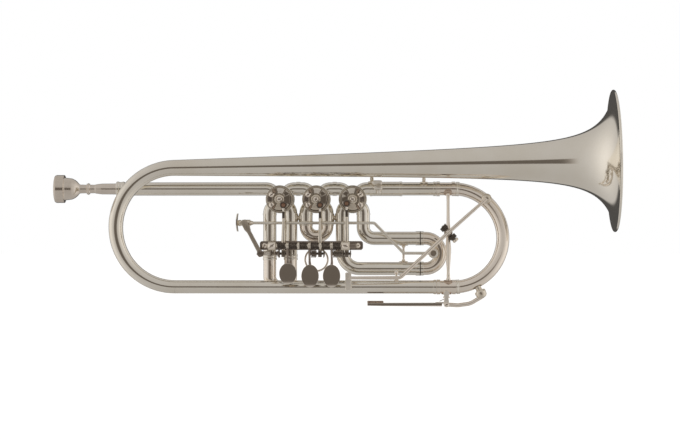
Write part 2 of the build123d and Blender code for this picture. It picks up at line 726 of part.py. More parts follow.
def make_lever(number, x, z, reach, eye_x):
    pin_y = pin_rest_y
    with BuildPart() as lever:
        rod((x - 1.25, axle_y, axle_z), (x + 1.25, axle_y, axle_z), 3.0)
        arm_top = (axle_y - 1.2, axle_z - 1.5)
        arm_end = (paddle_y + 1.0, z + 4.0)
        with BuildSketch(Plane.YZ.offset(x - 1.05)) as arm:
            with BuildLine():
                Polyline(
                    (arm_top[0] - 1.1, arm_top[1]),
                    (paddle_y - 0.4, z + 11.0),
                    (paddle_y - 0.4, arm_end[1]),
                    (paddle_y + 1.6, arm_end[1]),
                    (paddle_y + 2.0, z + 11.0),
                    (arm_top[0] + 1.3, arm_top[1]),
                    close=True,
                )
            make_face()
        extrude(arm.sketch, amount=2.1)
        with BuildSketch(facing(x, paddle_y, z)) as paddle:
            Ellipse(8.35, 10.1)
        extrude(paddle.sketch, amount=1.5)
        fillet(lever.edges().group_by(Axis.Y)[0], 0.6)
        crank = Vector(0, pin_y - axle_y, link_bottom_z - axle_z)
        side = crank.normalized()
        with BuildSketch(Plane(origin=(x - 1.1, axle_y, axle_z), x_dir=(0, side.Y, side.Z), z_dir=(1, 0, 0))) as bar:
            with Locations((crank.length / 2, 0)):
                Rectangle(crank.length, 2.8)
            with Locations((crank.length, 0)):
                Circle(2.1)
        extrude(bar.sketch, amount=2.2)
        rod((x, pin_y, link_bottom_z), (x + reach, pin_y, link_bottom_z), crank_pin)
        step = 1 if reach > 0 else -1
        far = eye_x + step * collar_gap
        rod((far, pin_y, link_bottom_z), (far + step * 1.1, pin_y, link_bottom_z), 2.2)
        near = eye_x - step * collar_gap
        if abs(near - x) > 3:
            rod((near, pin_y, link_bottom_z), (near - step * 1.4, pin_y, link_bottom_z), 2.2)
        rod((x - 3, axle_y, axle_z), (x + 3, axle_y, axle_z), axle_radius + running, Mode.SUBTRACT)
    save(lever, f"lever_{number}")


for index in range(3):
    across = polar(ball_arm, mirrored(ball_angle[index], valve_side[index]))[0]
    link_x = valve_x[index] + across
    make_lever(index + 1, hub_x[index], paddle_z[index], pin_reach[index], link_x)

# Braces between the slide legs
brace_z = -18.8
with BuildPart() as leg_braces:
    for left, right in zip(valve_x, valve_x[1:]):
        left_leg = left + port
        right_leg = right - port
        rod((left_leg, valve_y, brace_z), (right_leg, valve_y, brace_z), 2.0)
        for leg_x in (left_leg, right_leg):
            rod((leg_x, valve_y, brace_z - 5), (leg_x, valve_y, brace_z + 5), outer_tube, Mode.SUBTRACT)
save(leg_braces, "leg_braces")

third_brace_x = 66.5
with BuildPart() as third_outer_brace:
    rod((third_brace_x, valve_y, third_lower_z), (third_brace_x, valve_y, third_upper_z), 1.1)
    for z, step in ((third_lower_z, 1), (third_upper_z, -1)):
        foot = z + step * (outer_tube - 0.6)
        rod((third_brace_x, valve_y, foot), (third_brace_x, valve_y, foot + step * 1.6), 3.4)
    for z in (third_lower_z, third_upper_z):
        start = (third_brace_x - 8, valve_y, z)
        end = (third_brace_x + 8, valve_y, z)
        rod(start, end, outer_tube, Mode.SUBTRACT)
save(third_outer_brace, "third_outer_brace")


def bell_brace(name, x, radius, foot):
    """A slanted post from the bell's underside to the upper leg of the main slide."""
    along = (x - bell_start[0]) / cos(tilt)
    bell_point = Vector(x, 0, bell_start[1] + along * sin(tilt))
    leg_point = Vector(x, valve_y, lead_z)
    line = (leg_point - bell_point).normalized()
    local = bell_radius(bell_length - along)
    leg = outer_tube + (0.5 if x < 64.8 else 0.0)
    with BuildPart() as brace:
        rod(bell_point, leg_point, radius)
        rod(bell_point + line * (local - 0.8), bell_point + line * (local + 1.2), foot)
        rod(leg_point - line * (leg + 1.2), leg_point - line * (leg - 0.8), foot)
        rod((x - 9, valve_y, lead_z), (x + 9, valve_y, lead_z), leg, Mode.SUBTRACT)
        with BuildSketch(Plane(origin=bell_point - bell_axis.direction * 9, z_dir=bell_axis.direction)) as cone:
            Circle(bell_radius(bell_length - along + 9))
        with BuildSketch(Plane(origin=bell_point + bell_axis.direction * 9, z_dir=bell_axis.direction)) as cone_end:
            Circle(bell_radius(bell_length - along - 9))
        loft([cone.sketch, cone_end.sketch], mode=Mode.SUBTRACT)
    save(brace, name)


bell_brace("front_bell_brace", 86.3, 1.3, 2.8)
bell_brace("rear_bell_brace", 35.6, 1.8, 3.4)

# Lyre holder: a small block in front of the upper leg, its socket facing the player
lyre_x = 42.4
lyre_y = 4.0
lyre_z = 12.6
lyre_bore = 2.4
lyre_depth = 6.2
lyre_side = 7.2
lyre_front = lyre_y - lyre_side / 2
with BuildPart() as lyre_holder:
    with Locations((lyre_x, lyre_y, lyre_z)):
        Box(8.0, lyre_side, lyre_side)
    fillet(lyre_holder.edges().filter_by(Axis.Y), 1.2)
    with Locations((lyre_x, lyre_y + 5.0, lyre_z - 1.0)):
        Box(5.0, 6.0, 3.6)
    rod((lyre_x - 9, valve_y, lead_z), (lyre_x + 9, valve_y, lead_z), outer_tube + 0.5, Mode.SUBTRACT)
    rod((lyre_x, lyre_front, lyre_z), (lyre_x, lyre_front + lyre_depth, lyre_z), lyre_bore, Mode.SUBTRACT)
    rod((lyre_x, lyre_y, lyre_z), (lyre_x, lyre_y, lyre_z - 8), 1.0, Mode.SUBTRACT)
save(lyre_holder, "lyre_holder")

with BuildPart() as lyre_screw:
    rod((lyre_x, lyre_y, lyre_z - 2.5), (lyre_x, lyre_y, lyre_z - 5.2), 1.0)
    rod((lyre_x, lyre_y, lyre_z - 4.4), (lyre_x, lyre_y, lyre_z - 8.4), 2.6)
save(lyre_screw, "lyre_screw")

# Main tuning slide: the bow lies in a plane tilted from the upper leg to the lower leg.
bow_mid = Vector(main_bow_x, valve_y / 2, (lead_z + bottom_z) / 2)
bow_across = Vector(0, valve_y / 2, (lead_z - bottom_z) / 2)
main_radius = bow_across.length
engaged_main = 32.0
main_straight = main_bow_x - main_joint_x
ring_near = main_joint_x + slide_gap
ring_far = main_bow_x - 1.2


def bow_point(angle, distance):
    """A point in the bow's plane, at an angle up from +X about the bow's centre."""
    up = bow_across.normalized()
    return bow_mid + Vector(1, 0, 0) * (distance * cos(radians(angle))) + up * (distance * sin(radians(angle)))


vent_angle = 50.0
vent_nipple = bow_point(vent_angle, main_radius + 2.0)
vent_pad_y = vent_nipple.Y - 9.6
water_angle = -64.0
with BuildPart() as main_slide:
    u_turn(bow_mid, bow_across, (1, 0, 0), main_straight + engaged_main, inner_leg)
    u_turn(bow_mid, bow_across, (1, 0, 0), main_straight - slide_gap, crook_tube)
    for y, z in ((valve_y, lead_z), (0, bottom_z)):
        rod((ring_near, y, z), (ring_near + 3.2, y, z), outer_tube + 0.75)
        rod((ring_far, y, z), (ring_far + 3.4, y, z), outer_tube + 0.6)
    rod(vent_nipple, (vent_nipple.X, vent_pad_y + 1.5, vent_nipple.Z), 2.6)
    rod(bow_point(water_angle, main_radius + 2), bow_point(water_angle, main_radius + 10.0), 2.9)
    u_turn(bow_mid, bow_across, (1, 0, 0), main_straight + engaged_main, bore, Mode.SUBTRACT)
    rod(vent_nipple, (vent_nipple.X, vent_pad_y, vent_nipple.Z), 1.0, Mode.SUBTRACT)
    rod(bow_point(water_angle, main_radius), bow_point(water_angle, main_radius + 11.0), 1.6, Mode.SUBTRACT)
save(main_slide, "main_slide")

# Upright brace of the main slide, with the vent key's pivot block on its front
upright_x = 109.8
brace_foot = 3.5
upright_top = Vector(upright_x, 10.2, 5.0)
upright_foot = Vector(upright_x, -2.4, -80.0)
upright_line = (upright_foot - upright_top).normalized()
key_pivot = Vector(upright_x, -1.4, -33.0)
key_bend = Vector(63.0, -8.0, -76.8)
key_toe = Vector(13.2, -12.6, -76.8)
key_pad = Vector(vent_nipple.X, vent_pad_y, vent_nipple.Z)
key_line = Vector(key_pivot.X - key_bend.X, 0, key_pivot.Z - key_bend.Z).normalized()
key_axis = Vector(key_line.Z, 0, -key_line.X)


def upright_at(z):
    """The brace's centre at a height."""
    return upright_top + upright_line * ((z - upright_top.Z) / upright_line.Z)


fork_inside = 2.6
fork_cheek = 1.6
fork_front = 1.6
key_pin = 1.25
with BuildPart() as main_slide_brace:
    rod(upright_top - upright_line * 2, upright_foot + upright_line * 2, 1.85)
    rod(upright_top - upright_line * 2, upright_top + upright_line * 1.8, brace_foot)
    rod(upright_foot - upright_line * 1.8, upright_foot + upright_line * 2, brace_foot)
    back = upright_at(key_pivot.Z)
    base_y = back.Y + 0.6
    with BuildSketch(facing(key_pivot.X, base_y, key_pivot.Z)) as base:
        with Locations(Location((0, 0, 0), (0, 0, 1), degrees(asin(key_line.Z)))):
            Rectangle(5.0, 2 * (fork_inside + fork_cheek))
    extrude(base.sketch, amount=base_y - fork_front)
    for side in (-1, 1):
        cheek = key_pivot + key_axis * side * (fork_inside + fork_cheek / 2)
        with BuildSketch(facing(cheek.X, fork_front, cheek.Z)) as wall:
            with Locations(Location((0, 0, 0), (0, 0, 1), degrees(asin(key_line.Z)))):
                Rectangle(5.0, fork_cheek)
        extrude(wall.sketch, amount=5.0)
    pin_end = key_axis * (fork_inside + fork_cheek + 5.6)
    rod(key_pivot - key_axis * (fork_inside + fork_cheek + 4.4), key_pivot + pin_end, key_pin)
    rod(key_pivot + pin_end, key_pivot + pin_end + key_axis * 1.6, 2.1)
    for y, z in ((valve_y, lead_z), (0, bottom_z)):
        rod((upright_x - 9, y, z), (upright_x + 9, y, z), crook_tube, Mode.SUBTRACT)
save(main_slide_brace, "main_slide_brace")

with BuildPart() as vent_key_springs:
    for side in (-1, 1):
        first = key_pivot + key_axis * side * (fork_inside + fork_cheek + 0.75)
        for turn in range(4):
            place = first + key_axis * (side * turn * 1.05)
            ring = Location(Plane(origin=place, z_dir=key_axis))
            with Locations(ring):
                Torus(2.5, 0.62)
save(vent_key_springs, "vent_key_springs")

key_thick = 2.3
with BuildPart() as vent_key:
    rod(key_pivot - key_axis * (fork_inside - 0.3), key_pivot + key_axis * (fork_inside - 0.3), 2.6)
    pad_end = Vector(key_pad.X, key_pad.Y - 3.4, key_pad.Z)
    rod(pad_end, (key_pad.X, key_pad.Y, key_pad.Z), 4.8)
    hub_top = Vector(key_pivot.X, key_pivot.Y - 1.6, key_pivot.Z)
    rod(hub_top, pad_end, 1.7)
    run((hub_top, key_bend, key_toe), 7.0, 1.7)
    with BuildSketch(facing(key_toe.X, key_toe.Y + 0.8, -80.3)) as touch:
        RectangleRounded(6.4, 17.8, 1.6)
    extrude(touch.sketch, amount=1.7)
    rod(key_pivot - key_axis * 9, key_pivot + key_axis * 9, key_pin + running, Mode.SUBTRACT)
    rod((key_pad.X, key_pad.Y + 0.01, key_pad.Z), (key_pad.X, key_pad.Y - 0.6, key_pad.Z), 3.6, Mode.SUBTRACT)
save(vent_key, "vent_key")

# Water key on the underside of the main slide
water_pivot = Vector(108.0, 0, -102.7)
bar_left_x = 31.4
bar_top = -101.4
bar_bottom = -104.2
water_pad = bow_point(water_angle, main_radius + 10.0)
water_out = (bow_point(water_angle, 2.0) - bow_point(water_angle, 1.0)).normalized()
with BuildPart() as water_key_post:
    for side in (-1, 1):
        with Locations((water_pivot.X, side * 4.9, (bottom_z + water_pivot.Z) / 2)):
            Box(5.4, 1.4, bottom_z - water_pivot.Z + 2.0)
    with Locations((water_pivot.X, 0, bottom_z - 6.6)):
        Box(5.4, 11.2, 3.4)
    rod((water_pivot.X - 9, 0, bottom_z), (water_pivot.X + 9, 0, bottom_z), crook_tube, Mode.SUBTRACT)
    rod((water_pivot.X, -6.6, water_pivot.Z), (water_pivot.X, 6.6, water_pivot.Z), 1.2)
save(water_key_post, "water_key_post")

with BuildPart() as water_key:
    with BuildSketch(Plane.XZ.offset(-3.6)) as bar:
        with BuildLine():
            Polyline(
                (bar_left_x, bar_bottom),
                (bar_left_x, bar_top),
                (water_pivot.X, bar_top + 0.4),
                (water_pivot.X, bar_bottom - 0.4),
                close=True,
            )
        make_face()
    extrude(bar.sketch, amount=7.2)
    with Locations((bar_left_x + 8.0, 0, bar_top + 1.05)):
        Box(15.8, 7.2, 2.1)
    rod((water_pivot.X, -3.9, water_pivot.Z), (water_pivot.X, 3.9, water_pivot.Z), 2.6)
    elbow = Vector(132.0, 0.2, -104.0)
    under = water_pad + water_out * 4.2
    run((water_pivot, elbow, under), 14.0, 1.9)
    rod(water_pad + water_out * 0.1, water_pad + water_out * 4.6, 5.0)
    rod((water_pivot.X, -6, water_pivot.Z), (water_pivot.X, 6, water_pivot.Z), 1.2 + running, Mode.SUBTRACT)
save(water_key, "water_key")

# The flat spring stands clear of the bar over the key's whole travel.
leaf_tip_x = water_pivot.X - 12.4
leaf_clear = 1.9
with BuildPart() as water_key_spring:
    with BuildSketch(Plane.XZ.offset(-2.2)) as leaf:
        with BuildLine():
            Polyline(
                (water_pivot.X - 1.0, bar_top + 5.4),
                (water_pivot.X - 1.0, bar_top + 4.8),
                (leaf_tip_x, bar_top + leaf_clear),
                (leaf_tip_x, bar_top + leaf_clear + 0.6),
                close=True,
            )
        make_face()
    extrude(leaf.sketch, amount=4.4)
    with Locations((water_pivot.X, 0, bar_top + 5.1)):
        Box(3.4, 8.4, 1.0)
save(water_key_spring, "water_key_spring")
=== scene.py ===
import json
import math

import bmesh
import bpy
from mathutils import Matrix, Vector


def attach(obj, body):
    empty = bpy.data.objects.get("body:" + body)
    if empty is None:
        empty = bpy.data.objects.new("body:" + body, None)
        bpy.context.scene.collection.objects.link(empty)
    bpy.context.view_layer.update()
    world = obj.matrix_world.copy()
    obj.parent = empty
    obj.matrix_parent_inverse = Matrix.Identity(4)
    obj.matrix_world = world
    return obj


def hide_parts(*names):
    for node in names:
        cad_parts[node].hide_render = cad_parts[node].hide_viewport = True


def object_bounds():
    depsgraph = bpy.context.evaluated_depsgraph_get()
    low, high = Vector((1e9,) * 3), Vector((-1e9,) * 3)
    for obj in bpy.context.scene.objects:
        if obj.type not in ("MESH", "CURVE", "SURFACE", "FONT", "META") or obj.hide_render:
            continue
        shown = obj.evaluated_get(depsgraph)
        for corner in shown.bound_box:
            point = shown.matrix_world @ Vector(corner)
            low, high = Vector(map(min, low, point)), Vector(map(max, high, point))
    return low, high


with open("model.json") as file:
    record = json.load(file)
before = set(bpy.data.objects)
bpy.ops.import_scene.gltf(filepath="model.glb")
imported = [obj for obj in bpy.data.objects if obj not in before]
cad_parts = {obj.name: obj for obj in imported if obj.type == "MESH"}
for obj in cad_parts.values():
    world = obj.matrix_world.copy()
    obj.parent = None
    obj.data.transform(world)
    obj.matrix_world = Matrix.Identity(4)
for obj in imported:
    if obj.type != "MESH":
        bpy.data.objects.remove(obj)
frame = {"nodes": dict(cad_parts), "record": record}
cad_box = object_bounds()

# Every length below is in millimetres and is scaled to metres when a mesh is made.
MM = 0.001
ROUND = 64
RIGHT, UP, DOWN = (1, 0, 0), (0, 0, 1), (0, 0, -1)
FRONT, BACK = (0, -1, 0), (0, 1, 0)
# The record's material slots
BODY, SLIDE, LEVER, STEEL, CORK = "silver_body", "silver_slide", "silver_lever", "dark_steel", "cork"

# ---- dimensions, as in the CAD
valve_y = 15
lead_z = 9.5
bottom_z = -85.8
port = 10.2
rotor_z = lead_z - port
valve_x = (-54, -18.5, 17)
valve_side = (1, 1, -1)
ball_angle = (-54, -54, -37)
outer_tube = 6.4
casing_front = 3
casing_back = 27
plate_front = 0.5
plate_radius = 12.5
stub_end = 13.6
ball_arm = 7
link_y = -5.3
link_bottom_z = -53.4
axle_y = -22.35
axle_z = -45.7
hub_x = (-45.2, -24, -2.7)
paddle_z = (-72.3, -73.6, -73.6)
paddle_y = axle_y - 4.6
first_joint_z = -57
second_joint_z = -24.2
third_upper_z = -38.75
third_lower_z = -68.3
third_joint_x = 82.4
main_joint_x = 98.2
main_bow_x = 114.7
slide_gap = 0.4
bow_x = -155.5
bow_radius = 57.8
bell_length = 426.3
bell_wall = 0.55
tilt = math.radians(0.86)
bow_centre_z = bottom_z + bow_radius
bell_start = Vector((bow_x - bow_radius * math.sin(tilt), 0, bow_centre_z + bow_radius * math.cos(tilt)))
bell_line = Vector((math.cos(tilt), 0, math.sin(tilt)))


# ---- mesh helpers
def vec(*p):
    return Vector(p)


def polar(radius, angle):
    return (radius * math.cos(math.radians(angle)), radius * math.sin(math.radians(angle)))


def spread(value, count):
    """A list as it is, or one number repeated for each point."""
    return value if isinstance(value, (list, tuple)) else [value] * count


def turn_axes(axis):
    """An axis and two directions square to it."""
    axis = Vector(axis).normalized()
    side = axis.orthogonal().normalized()
    return axis, side, axis.cross(side)


def circle(centre, side, up, radius, count):
    """Points round a circle. radius is one number or one for each point."""
    out = []
    for k, r in enumerate(spread(radius, count)):
        a = 2 * math.pi * k / count
        out.append(centre + (side * math.cos(a) + up * math.sin(a)) * r)
    return out


def quads(rings, closed=False):
    """Faces between neighbouring rings of vertex numbers. A corner that repeats is dropped."""
    faces = []
    for a, b in list(zip(rings, rings[1:])) + ([(rings[-1], rings[0])] if closed else []):
        for k in range(len(a)):
            n = (k + 1) % len(a)
            face = tuple(dict.fromkeys((a[k], a[n], b[n], b[k])))
            if len(face) > 2:
                faces.append(face)
    return faces


def smooth(mesh, sharp=35):
    """Smooth shading, except at edges sharper than the angle."""
    mesh.shade_smooth()
    mesh.set_sharp_from_angle(angle=math.radians(sharp))


def built(name, shape, sharp=35):
    """An object from a finished bmesh."""
    mesh = bpy.data.meshes.new(name)
    shape.to_mesh(mesh)
    shape.free()
    smooth(mesh, sharp)
    piece = bpy.data.objects.new(name, mesh)
    bpy.context.scene.collection.objects.link(piece)
    return piece


def make(name, verts, faces, sharp=35):
    """An object from points in millimetres and faces."""
    shape = bmesh.new()
    corners = [shape.verts.new([c * MM for c in v]) for v in verts]
    for face in faces:
        shape.faces.new([corners[i] for i in face])
    bmesh.ops.recalc_face_normals(shape, faces=shape.faces)
    return built(name, shape, sharp)


def rounded(points, radius, steps=6, closed=False):
    """The points with each corner replaced by an arc of the radius, or less where runs are short.
    radius is one number or one for each point."""
    points = [Vector(p) for p in points]
    count = len(points)
    out = []
    for i, (p, radius_here) in enumerate(zip(points, spread(radius, count))):
        if (not closed and i in (0, count - 1)) or radius_here <= 0:
            out.append(p)
            continue
        before = points[i - 1] - p
        after = points[(i + 1) % count] - p
        angle = before.angle(after)
        if angle > math.pi - 0.02:
            out.append(p)
            continue
        reach = min(radius_here / math.tan(angle / 2), before.length * 0.49, after.length * 0.49)
        r = reach * math.tan(angle / 2)
        start = p + before.normalized() * reach
        end = p + after.normalized() * reach
        middle = p + (before.normalized() + after.normalized()).normalized() * (r / math.sin(angle / 2))
        a, b = start - middle, end - middle
        sweep = a.angle(b)
        for k in range(steps + 1):
            t = k / steps
            out.append(middle + (a * math.sin((1 - t) * sweep) + b * math.sin(t * sweep)) / math.sin(sweep))
    return out


def rounded2(points, radius=0.25, steps=3):
    """A flat closed outline or turning profile with its corners rounded."""
    return [(p.x, p.y) for p in rounded([(x, y, 0) for x, y in points], radius, steps, closed=True)]


def box(left, low, right, high, radius, steps=4):
    """A rectangle's outline with rounded corners."""
    return rounded2([(left, low), (right, low), (right, high), (left, high)], radius, steps)


def frames(path):
    """A side and an up direction at each point of a path, carried along without twist."""
    last = len(path) - 1
    tangents = [(path[min(i + 1, last)] - path[max(i - 1, 0)]).normalized() for i in range(last + 1)]
    side = tangents[0].orthogonal().normalized()
    out = []
    for t in tangents:
        side = (side - t * side.dot(t)).normalized()
        out.append((side, t.cross(side).normalized()))
    return out


def tube(name, path, radius, wall=0, sides=ROUND):
    """A round bar along a path, or a tube open at both ends if wall is given.
    radius is one number or one for each point."""
    path = [Vector(p) for p in path]
    verts, skins = [], []
    for inset in ((0, wall) if wall else (0,)):
        skins.append([])
        for p, r, (side, up) in zip(path, spread(radius, len(path)), frames(path)):
            skins[-1].append(range(len(verts), len(verts) + sides))
            verts += circle(p, side, up, r - inset, sides)
    faces = []
    for rings in skins:
        faces += quads(rings)
    for end in (0, -1):
        faces += quads([skins[0][end], skins[1][end]]) if wall else [tuple(skins[0][end])]
    return make(name, verts, faces)


def lathe(name, profile, origin, axis, sides=ROUND, closed=True, sharp=35):
    """A solid turned about an axis. The profile is a closed line of (along, radius)."""
    axis, side, up = turn_axes(axis)
    verts, rings = [], []
    for along, radius in profile:
        spot = Vector(origin) + axis * along
        if radius < 1e-4:
            rings.append([len(verts)] * sides)
            verts.append(spot)
        else:
            rings.append(range(len(verts), len(verts) + sides))
            verts += circle(spot, side, up, radius, sides)
    return make(name, verts, quads(rings, closed), sharp)


def collar(name, start, end, radius, ease=0.3, sides=ROUND):
    """A turned pin between two points with eased edges."""
    start, end = Vector(start), Vector(end)
    length = (end - start).length
    points = [(0, 0), (0, radius), (length, radius), (length, 0)]
    return lathe(name, rounded2(points, [0, ease, ease, 0], 4), start, end - start, sides, closed=False)


def slab(name, outline, origin, right, up, depth, ease=0.25, steps=2):
    """A flat plate: an outline in its plane, pushed along the plane's normal, edges eased."""
    origin, right, up = Vector(origin), Vector(right).normalized(), Vector(up).normalized()
    shape = bmesh.new()
    face = shape.faces.new([shape.verts.new((origin + right * p[0] + up * p[1]) * MM) for p in outline])
    pushed = bmesh.ops.extrude_face_region(shape, geom=[face])
    moved = [v for v in pushed["geom"] if isinstance(v, bmesh.types.BMVert)]
    bmesh.ops.translate(shape, verts=moved, vec=right.cross(up).normalized() * depth * MM)
    bmesh.ops.recalc_face_normals(shape, faces=shape.faces)
    if ease > 0:
        edges = [e for e in shape.edges if len(e.link_faces) == 2 and e.calc_face_angle(0) > math.radians(50)]
        bmesh.ops.bevel(shape, geom=edges, offset=ease * MM, segments=steps, affect="EDGES", profile=0.5,
                        clamp_overlap=True)
    return built(name, shape, 40)


def ball(name, centre, radius, segments=32, rings=20):
    shape = bmesh.new()
    bmesh.ops.create_uvsphere(shape, u_segments=segments, v_segments=rings, radius=radius * MM)
    bmesh.ops.translate(shape, verts=shape.verts, vec=Vector(centre) * MM)
    return built(name, shape)


def joined(name, pieces, sharp=35):
    """Several pieces as one object, at the origin."""
    shape = bmesh.new()
    for piece in pieces:
        shape.from_mesh(piece.data)
        bpy.data.objects.remove(piece)
    return built(name, shape, sharp)


def carve(piece, tool):
    """Cuts the tool's shape out of the piece for good."""
    change = piece.modifiers.new("carve", "BOOLEAN")
    change.operation = "DIFFERENCE"
    change.solver = "EXACT"
    change.object = tool
    settle(piece)
    bpy.data.objects.remove(tool)
    return piece


def settle(piece):
    """Applies the piece's modifiers to its mesh."""
    bpy.context.view_layer.update()
    graph = bpy.context.evaluated_depsgraph_get()
    done = bpy.data.meshes.new_from_object(piece.evaluated_get(graph))
    piece.modifiers.clear()
    piece.data = done
    smooth(done)


def arc(radius, start, end, steps):
    """Points of an arc about the origin, in degrees."""
    return [polar(radius, start + (end - start) * k / steps) for k in range(steps + 1)]


def slot_outline(length, half_width):
    """A slot with round ends, along the first axis."""
    reach = length / 2 - half_width
    return [(reach + x, y) for x, y in arc(half_width, -90, 90, 10)] + \
        [(-reach + x, y) for x, y in arc(half_width, 90, 270, 10)]


def sector(side, inner_r, outer_r, start, end, steps=28):
    """The outline of a ring sector, in degrees, mirrored left to right where side is -1."""
    points = arc(outer_r, start, end, steps) + arc(inner_r, end, start, steps)
    return points if side > 0 else [(-x, y) for x, y in reversed(points)]


def knurled(name, centre, axis, radius, length, teeth, depth):
    """A short ring with fine teeth round its edge."""
    axis, side, up = turn_axes(axis)
    count = teeth * 2
    verts = []
    for along, fade in ((0, True), (0.25, False), (length - 0.25, False), (length, True)):
        radii = [radius - (depth if k % 2 or fade else 0) for k in range(count)]
        verts += circle(Vector(centre) + axis * along, side, up, radii, count)
    rings = [range(row * count, (row + 1) * count) for row in range(4)]
    return make(name, verts, quads(rings) + [tuple(rings[0]), tuple(rings[3])], 50)


def dome(name, spot, radius, height, slot_angle):
    """A round-headed slotted screw that faces the player."""
    curve = [(0, 0), (0, radius * 0.96), (height * 0.22, radius)]
    for k in range(1, 9):
        a = math.pi / 2 * k / 8
        curve.append((height * (0.22 + 0.78 * math.sin(a)), max(radius * math.cos(a), 0)))
    head = lathe(name, curve, spot, FRONT, 40, closed=False, sharp=60)
    groove = 0.13 * radius
    reach = radius * 0.8
    across, up = polar(1, slot_angle)
    cut = slab("cut", [(-reach, -groove), (reach, -groove), (reach, groove), (-reach, groove)],
               (spot[0], spot[1] - height - 0.3, spot[2]), (across, 0, up), (-up, 0, across),
               -(0.3 + height * 0.35), ease=0)
    return carve(head, cut)


def helix(name, start, axis, radius, wire, turns, pitch, sides=10, per_turn=28):
    """A coil spring about an axis."""
    axis, side, up = turn_axes(axis)
    path = []
    for k in range(int(turns * per_turn) + 1):
        a = 2 * math.pi * k / per_turn
        off = (side * math.cos(a) + up * math.sin(a)) * radius
        path.append(Vector(start) + axis * (pitch * k / per_turn) + off)
    return tube(name, path, wire, sides=sides)


def saddle(name, spot, along, out, tube_radius, foot_radius, thick=0.9, rings=7, sides=40):
    """A round flange bent over a tube: spot is on the tube's axis, out points away from the tube."""
    spot, along, out = Vector(spot), Vector(along).normalized(), Vector(out).normalized()
    out = (out - along * out.dot(along)).normalized()
    side = out.cross(along)
    verts = [spot + out * (tube_radius + thick)]
    for k in range(1, rings + 1):
        rho = foot_radius * min(k / (rings - 1), 1)
        lift = thick * math.sqrt(max(1 - (k / rings) ** 4, 0)) if k < rings else -0.3
        for s in range(sides):
            a = 2 * math.pi * s / sides
            across = rho * math.sin(a)
            lay = math.sqrt(max(tube_radius ** 2 - across ** 2, 0))
            verts.append(spot + along * (rho * math.cos(a)) + side * across + out * (lay + lift))
    rows = [[0] * sides] + [range(1 + k * sides, 1 + (k + 1) * sides) for k in range(rings)]
    return make(name, verts, quads(rows) + [tuple(rows[-1])], 50)


def baluster(name, start, end, waist, belly, ring=0):
    """A turned post with a slender neck at each end and a swelling between them."""
    start, end = Vector(start), Vector(end)
    length = (end - start).length
    profile = [(0, 0)]
    for k in range(49):
        t = k / 48
        r = waist + (belly - waist) * math.exp(-((t - 0.5) / 0.22) ** 2)
        for bead_at in (0.12, 0.88):
            r += ring * math.exp(-((t - bead_at) * length / 0.9) ** 2)
        profile.append((length * t, r))
    profile.append((length, 0))
    return lathe(name, profile, start, end - start, 40, closed=False)


def ring_band(name, start, end, radius, inner, ease=0.3, groove=0):
    """A ferrule round a tube, with a turned groove down its middle if asked for."""
    start, end = Vector(start), Vector(end)
    length = (end - start).length
    points = [(0, inner), (0, radius), (length, radius), (length, inner)]
    radii = [0, ease, ease, 0]
    if groove:
        points[2:2] = [(length * 0.36, radius), (length * 0.5, radius - groove), (length * 0.64, radius)]
        radii = [0, ease, ease, 0.2, ease, ease, 0]
    return lathe(name, rounded2(points, radii), start, end - start, 72)


# ---- materials
def node(tree, kind, **values):
    """A new node with some inputs set. An underscore stands for a space in an input's name."""
    made = tree.nodes.new("ShaderNode" + kind)
    for key, value in values.items():
        made.inputs[key.replace("_", " ")].default_value = value
    return made


def blank(name):
    """A material, its node tree and its shader."""
    material = bpy.data.materials.new(name)
    material.use_nodes = True
    return material, material.node_tree, material.node_tree.nodes["Principled BSDF"]


def ramped(tree, source, places, colors):
    """A colour ramp driven by the source."""
    ramp = node(tree, "ValToRGB")
    for element, place, color in zip(ramp.color_ramp.elements, places, colors):
        element.position = place
        element.color = (*color, 1)
    tree.links.new(source, ramp.inputs["Fac"])
    return ramp.outputs["Color"]


def bumped(tree, shader, source, strength, distance):
    """Fine relief from the source."""
    bump = node(tree, "Bump", Strength=strength, Distance=distance)
    tree.links.new(source, bump.inputs["Height"])
    tree.links.new(bump.outputs["Normal"], shader.inputs["Normal"])


def metal(name, color, roughness, vary, stain, stain_amount, stain_scale, grain, grain_scale,
          stretch=(1, 1, 1), metallic=1):
    """A metal with uneven polish, faint stains and fine rubbing marks."""
    material, tree, shader = blank(name)
    link = tree.links.new
    shader.inputs["Metallic"].default_value = metallic
    place = node(tree, "TexCoord")
    mapping = node(tree, "Mapping", Scale=stretch)
    link(place.outputs["Object"], mapping.inputs["Vector"])
    cloud = node(tree, "TexNoise", Scale=stain_scale, Detail=6, Roughness=0.6)
    link(mapping.outputs["Vector"], cloud.inputs["Vector"])
    mixed = tuple(a * (1 - stain_amount) + b * stain_amount for a, b in zip(color, stain))
    link(ramped(tree, cloud.outputs["Fac"], (0.35, 0.75), (color, mixed)), shader.inputs["Base Color"])
    rubs = node(tree, "TexNoise", Scale=grain_scale, Detail=4)
    link(mapping.outputs["Vector"], rubs.inputs["Vector"])
    polish = node(tree, "MapRange", From_Min=0.3, From_Max=0.7, To_Min=max(roughness - vary, 0.03),
                  To_Max=roughness + vary)
    link(cloud.outputs["Fac"], polish.inputs["Value"])
    link(polish.outputs["Result"], shader.inputs["Roughness"])
    bumped(tree, shader, rubs.outputs["Fac"], grain, 0.0001)
    return material


